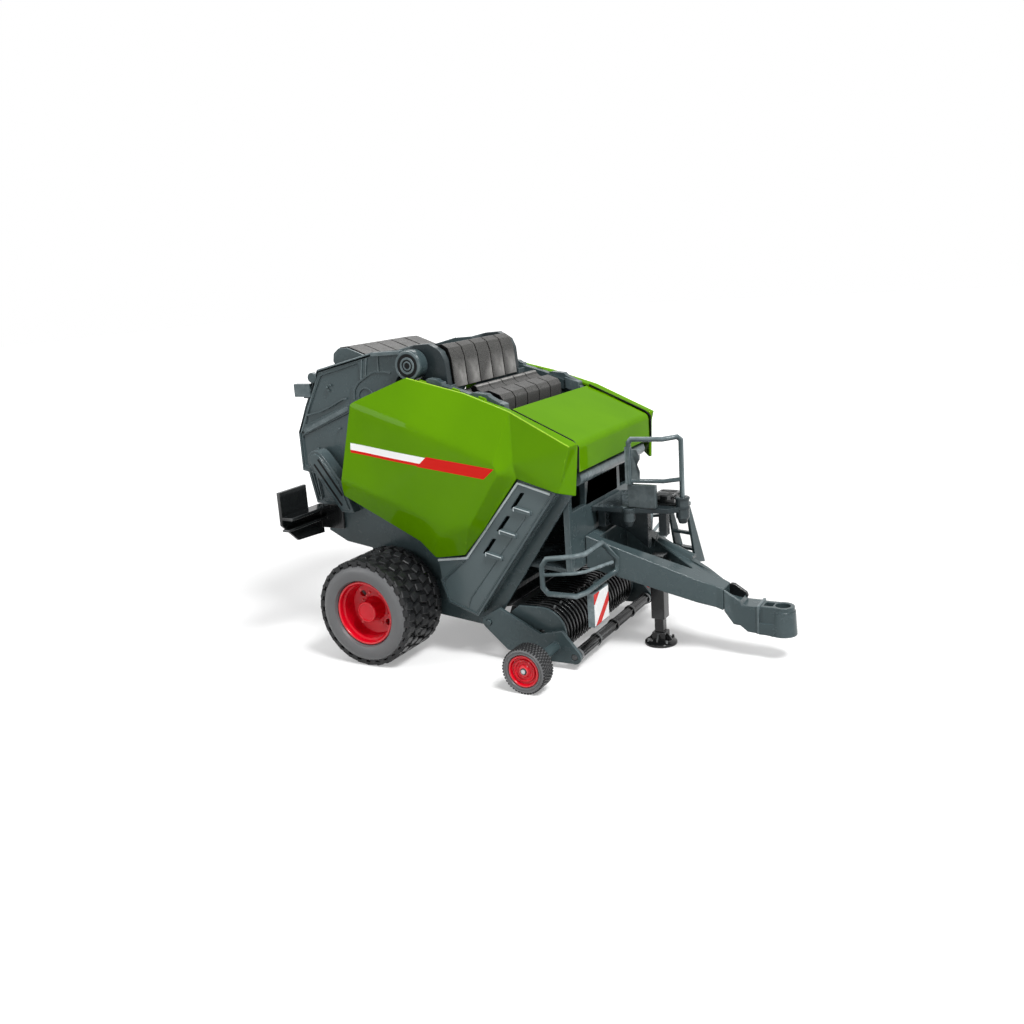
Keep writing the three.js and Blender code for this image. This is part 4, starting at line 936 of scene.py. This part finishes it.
tyreCarcass, tyreTread = makeMainTyre()
mainRim = makeMainRim()
for side in ("right", "left"):
    body = f"wheel_{side}"
    make = copyOf if side == "right" else mirrored
    carcass = make(tyreCarcass, f"mainCarcass_{side}")
    # sidewalls lighter than the tread rubber: painted light
    place(carcass, f"mainCarcass_{side}", body, "sidewallRubber")
    carcass.data.materials.append(materials["tyreRubber"])
    for face in carcass.data.polygons:  # the ground between the lugs is as dark as they are
        reach = math.hypot(face.center.x - axleX, face.center.z - wheelSizes["radius"] * mm)
        face.material_index = 1 if reach > wheelSizes["ground"] * mm else 0
    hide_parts(f"main_tyre_{side}")
    place(make(tyreTread, "tread"), f"mainTread_{side}", body, "tyreRubber")
    rim = place(make(mainRim, "rim"), f"mainRim_{side}", body, "redPlastic")
    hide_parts(f"main_rim_{side}")
for piece in (tyreCarcass, tyreTread, mainRim):
    bpy.data.objects.remove(piece)
print("main wheels built")


# guide wheels
guideSizes = {
    "x": 112.8, "radius": 13.7, "inner": 89.0, "width": 12.0, "rim": 9.6, "blocks": 44, "rows": 5, "rowPitch": 2.22,
}


def makeGuideWheel():
    s = guideSizes
    near, far = -s["inner"], -(s["inner"] + s["width"])
    seat, r = s["rim"] + 0.1, s["radius"]
    tyreProfile = [
        (seat, near - 1.2), (seat + 0.6, near - 0.1), (r - 1.6, near), (r - 0.5, near - 0.9), (r - 0.45, far + 0.9),
        (r - 1.6, far), (12.0, far + 0.05), (11.7, far + 0.35), (11.2, far + 0.35), (11.0, far + 0.1),
        (seat + 0.5, far + 0.15), (seat, far + 1.2), (seat + 1, far + 2), (seat + 1, near - 2),
    ]
    tyre = spun(tyreProfile, s["x"], s["radius"], 64)
    smoothBy(tyre, 35)
    block = blockOf(s["x"] - 0.62, s["x"] + 0.62, far + 0.5, far + 2.6, 2 * r - 1.2, 2 * r - 0.02)
    roundEdges(block, 0.16, 1, 30)
    blocks = []
    step = 360 / s["blocks"]
    for row in range(s["rows"]):
        slide = Matrix.Translation((0, row * s["rowPitch"] * mm, 0))
        for i in range(s["blocks"]):
            blocks.append(copyOf(block, "block", turnAbout(s["x"], r, (i + (row % 2) * 0.5) * step) @ slide))
    bpy.data.objects.remove(block)
    tread = joined(blocks, "guideTread")
    lip = s["rim"] - 0.05
    rimProfile = [
        (2.1, near - 1), (4.5, near - 1), (4.5, far + 5), (lip - 1.4, far + 5), (lip - 1.2, near - 1), (lip, near - 1),
        (lip, far + 0.9), (lip - 0.4, far + 0.45), (lip - 1.1, far + 0.5), (lip - 1.4, far + 1.0),
        (lip - 1.6, far + 2.2), (6.9, far + 2.4), (6.7, far + 1.7), (6.0, far + 1.4), (5.6, far + 1.7),
        (5.3, far + 2.2), (3.9, far + 2.1), (3.5, far + 1.5), (2.9, far + 1.0), (2.1, far + 0.9),
    ]
    rim = spun(rimProfile, s["x"], s["radius"], 56)
    smoothBy(rim, 40)
    stubProfile = [(0, far + 2.5), (1.7, far + 2.5), (1.7, far + 0.75), (1.3, far + 0.35), (0, far + 0.3)]
    stub = spun(stubProfile, s["x"], s["radius"], 28)
    smoothBy(stub, 40)
    return tyre, tread, rim, stub


guideParts = makeGuideWheel()
for side in ("right", "left"):
    body = f"guide_wheel_{side}"
    make = copyOf if side == "right" else mirrored
    tyre, tread, rim, stub = [make(part, "part") for part in guideParts]
    # sidewalls lighter than the tread rubber: painted light
    place(tyre, f"guideTyre_{side}", body, "sidewallRubber")
    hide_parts(f"guide_tyre_{side}")
    place(tread, f"guideTread_{side}", body, "tyreRubber")
    place(rim, f"guideRim_{side}", body, "redPlastic")
    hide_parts(f"guide_rim_{side}")
    place(stub, f"guideStub_{side}", body, "drawnSteel")
for part in guideParts:
    bpy.data.objects.remove(part)
print("guide wheels built")


# deck: studs, boss ends, latches and the plate beside the railing's post
deckSizes = {
    "top": 91, "studs": ((127, -15.4), (134, -15.8), (141, -16.2), (153, -11.5), (127, 22), (139, 23), (150, 20)),
    "bosses": ((146.5, -18.5, 3.6, 83.0), (176, -7, 4.0, 84.0)), "latches": (161.6, 168.4),
}


def makeDeckDetails():
    top = deckSizes["top"]
    pieces = [postOf(x, y, 1.15, 0.95, top - 0.3, top + 0.7, 16) for x, y in deckSizes["studs"]]
    for x, y, radius, low in deckSizes["bosses"]:
        pieces.append(postOf(x, y, radius - 1.7, radius - 0.5, low - 3.2, low + 0.2, 28))
        pieces.append(postOf(x, y, radius + 0.35, radius + 0.35, low + 5.8, low + 7.2, 28))
    pieces.append(postOf(176, -7, 4.4, 4.4, 95.4, 96.6, 28))
    outline = [(148.7, 107.5), (148.7, 126.8), (152.2, 126.2), (154, 121), (152.4, 117.5), (154, 113), (153.6, 107.5)]
    pieces.append(plateOf(outline, -18.0, -17.0))
    return finished(pieces, "deckDetails", 0.2)


def makeToolboxDetails():
    pieces = [blockOf(x - 1.1, x + 1.1, -9.2, -8.4, 94.8, 97.3) for x in deckSizes["latches"]]
    pieces += [blockOf(171.4, 172.2, y - 1.0, y + 1.0, 94.8, 97.3) for y in (-5.2, 1.2)]
    pieces += [blockOf(160.2, 169.8, y - 0.35, y + 0.35, 97.8, 98.5) for y in (-6.6, -4.0, 0.0, 2.6)]
    return finished(pieces, "toolboxDetails", 0.18)


place(makeDeckDetails(), "deckDetails", "chassis", "shadedSlate")
place(makeToolboxDetails(), "toolboxDetails", "chassis", "blackPlastic")

# jack foot: four gussets round the collar, and four studs on the foot
jackSizes = {"x": 157, "collar": 4.3, "gusset": 3.6}


def makeJackDetails():
    s = jackSizes
    edge = s["x"] + s["collar"]
    gusset = plateOf([(edge - 0.4, 2.6), (edge + s["gusset"], 2.8), (edge - 0.4, 7.8)], -0.6, 0.6)
    roundEdges(gusset, 0.15, 2, 35)
    pieces = [copyOf(gusset, "gusset", turnAt(at(s["x"], 0, 0), 90 * i, "Z")) for i in range(4)]
    bpy.data.objects.remove(gusset)
    for x, y in ((5.9, 5.9), (-5.9, 5.9), (5.9, -5.9), (-5.9, -5.9)):
        pieces.append(postOf(s["x"] + x, y, 0.9, 0.75, 2.2, 4.0, 16))
    details = joined(pieces, "jackDetails")
    smoothBy(details, 35)
    return details


place(makeJackDetails(), "jackDetails", "jack", "blackPlastic")

# hitch: the far cheek of the neck
cheekOutline = [(199.2, 34), (199.0, 39.8), (200.6, 41.6), (203, 41.5), (210.2, 36.8), (211.2, 34.6), (210.6, 33.2)]
farCheek = finished([plateOf(cheekOutline, 5.2, 8.1)], "neckCheek", 0.6, 3, smooth=38)
place(farCheek, "neckCheek", "chassis", "blackPlastic")

# press roller: ribs along it
rollerSizes = {"x": 125, "z": 8.2, "ribs": 6, "half": 56}


def makeRollerRibs():
    s = rollerSizes
    rib = blockOf(s["x"] - 0.45, s["x"] + 0.45, -s["half"], s["half"], s["z"] + 2.6, s["z"] + 3.5)
    roundEdges(rib, 0.2, 2, 35)
    ribs = [copyOf(rib, "rib", turnAbout(s["x"], s["z"], i * 360 / s["ribs"])) for i in range(s["ribs"])]
    bpy.data.objects.remove(rib)
    ribs = joined(ribs, "rollerRibs")
    smoothBy(ribs, 35)
    return ribs


place(makeRollerRibs(), "rollerRibs", "press_roller", "blackPlastic")
print("small parts built")


# floor, lights and camera
def seenDirectly(tree):  # 1 where the camera, a reflection or a clear pane looks at the backdrop
    path = addNode(tree, "ShaderNodeLightPath")
    either = mathNode(tree, "MAXIMUM", path.outputs["Is Camera Ray"], path.outputs["Is Glossy Ray"])
    return mathNode(tree, "MAXIMUM", either, path.outputs["Is Transmission Ray"])


floorSizes = {"size": 9, "colour": (0.6, 0.6, 0.6, 1), "near": (0.3, 0.32), "far": (1.0, 1.0)}  # reach, own light
clearSelection()
bpy.ops.mesh.primitive_plane_add(size=floorSizes["size"], location=(0, 0, 0))
floor = bpy.context.object
floor.name = "studioFloor"
floorMaterial = bpy.data.materials.new("paperFloor")
floorMaterial.use_nodes = True
tree = floorMaterial.node_tree
shader = tree.nodes["Principled BSDF"]
shader.inputs["Base Color"].default_value = floorSizes["colour"]
shader.inputs["Roughness"].default_value = 0.7
shader.inputs["Specular IOR Level"].default_value = 0.2
shader.inputs["Emission Color"].default_value = (1, 1, 1, 1)
where = addNode(tree, "ShaderNodeTexCoord").outputs["Object"]
reach = addNode(tree, "ShaderNodeVectorMath", operation="LENGTH")
tree.links.new(where, reach.inputs[0])
(nearReach, nearLight), (farReach, farLight) = floorSizes["near"], floorSizes["far"]
ownLight = remap(tree, reach.outputs["Value"], nearReach, farReach, nearLight, farLight)
tree.links.new(mathNode(tree, "MULTIPLY", seenDirectly(tree), ownLight), shader.inputs["Emission Strength"])
floor.data.materials.append(floorMaterial)

skySizes = {
    "heights": (0.1, 0.95), "light": (0.06, 0.5), "wall": (-0.55, 0.82, 0.1), "edges": (0.2, 0.9), "wallLight": 0.12,
}
world = bpy.data.worlds.new("studio")
bpy.context.scene.world = world
world.use_nodes = True
tree = world.node_tree
background = tree.nodes["Background"]
seen = seenDirectly(tree)
background.inputs["Color"].default_value = (1, 1, 1, 1)
direction = addNode(tree, "ShaderNodeTexCoord").outputs["Generated"]
split = addNode(tree, "ShaderNodeSeparateXYZ")
tree.links.new(direction, split.inputs["Vector"])
upper = remap(tree, split.outputs["Z"], *skySizes["heights"], *skySizes["light"])
behind = addNode(tree, "ShaderNodeVectorMath", operation="DOT_PRODUCT")  # a pale wall on the far side
behind.inputs[1].default_value = skySizes["wall"]
tree.links.new(direction, behind.inputs[0])
wall = remap(tree, behind.outputs["Value"], *skySizes["edges"], 0, skySizes["wallLight"])
sky = mathNode(tree, "ADD", upper, wall)
light = mathNode(tree, "MULTIPLY", sky, mathNode(tree, "SUBTRACT", 1, seen))
tree.links.new(mathNode(tree, "ADD", light, seen), background.inputs["Strength"])

lamps = {
    "key": dict(place=(0.62, -0.34, 1.06), aim=(0.0, 0.0, 0.08), size=0.36, power=18),
    "front": dict(place=(0.06, -1.15, 0.42), aim=(0.0, 0.0, 0.1), size=0.11, power=0.9),
    "side": dict(place=(-0.8, -0.9, 0.55), aim=(0.0, 0.0, 0.08), size=0.45, power=3.8),
    "back": dict(place=(-0.5, 0.7, 1.0), aim=(0.0, 0.0, 0.12), size=0.6, power=5),
}
for name, lamp in lamps.items():
    data = bpy.data.lights.new(name, "AREA")
    data.size = lamp["size"]
    data.energy = lamp["power"]
    light = bpy.data.objects.new(name, data)
    light.location = lamp["place"]
    light.rotation_euler = (Vector(lamp["aim"]) - Vector(lamp["place"])).to_track_quat("-Z", "Y").to_euler()
    bpy.context.scene.collection.objects.link(light)

cameraSizes = {
    "place": (376.96, -568.06, 236.07), "azimuth": 29.485, "elevation": 13.554, "roll": -3.852, "lens": 35.839,
}
data = bpy.data.cameras.new("camera")
data.lens = cameraSizes["lens"]
data.sensor_width = 36
camera = bpy.data.objects.new("camera", data)
turns = [Matrix.Rotation(math.radians(angle), 4, axis) for angle, axis in
         ((cameraSizes["azimuth"], "Z"), (90 - cameraSizes["elevation"], "X"), (cameraSizes["roll"], "Z"))]
camera.matrix_world = Matrix.Translation(at(*cameraSizes["place"])) @ turns[0] @ turns[1] @ turns[2]
bpy.context.scene.collection.objects.link(camera)
bpy.context.scene.camera = camera
bpy.context.scene.view_settings.view_transform = "Standard"
print("stage set")
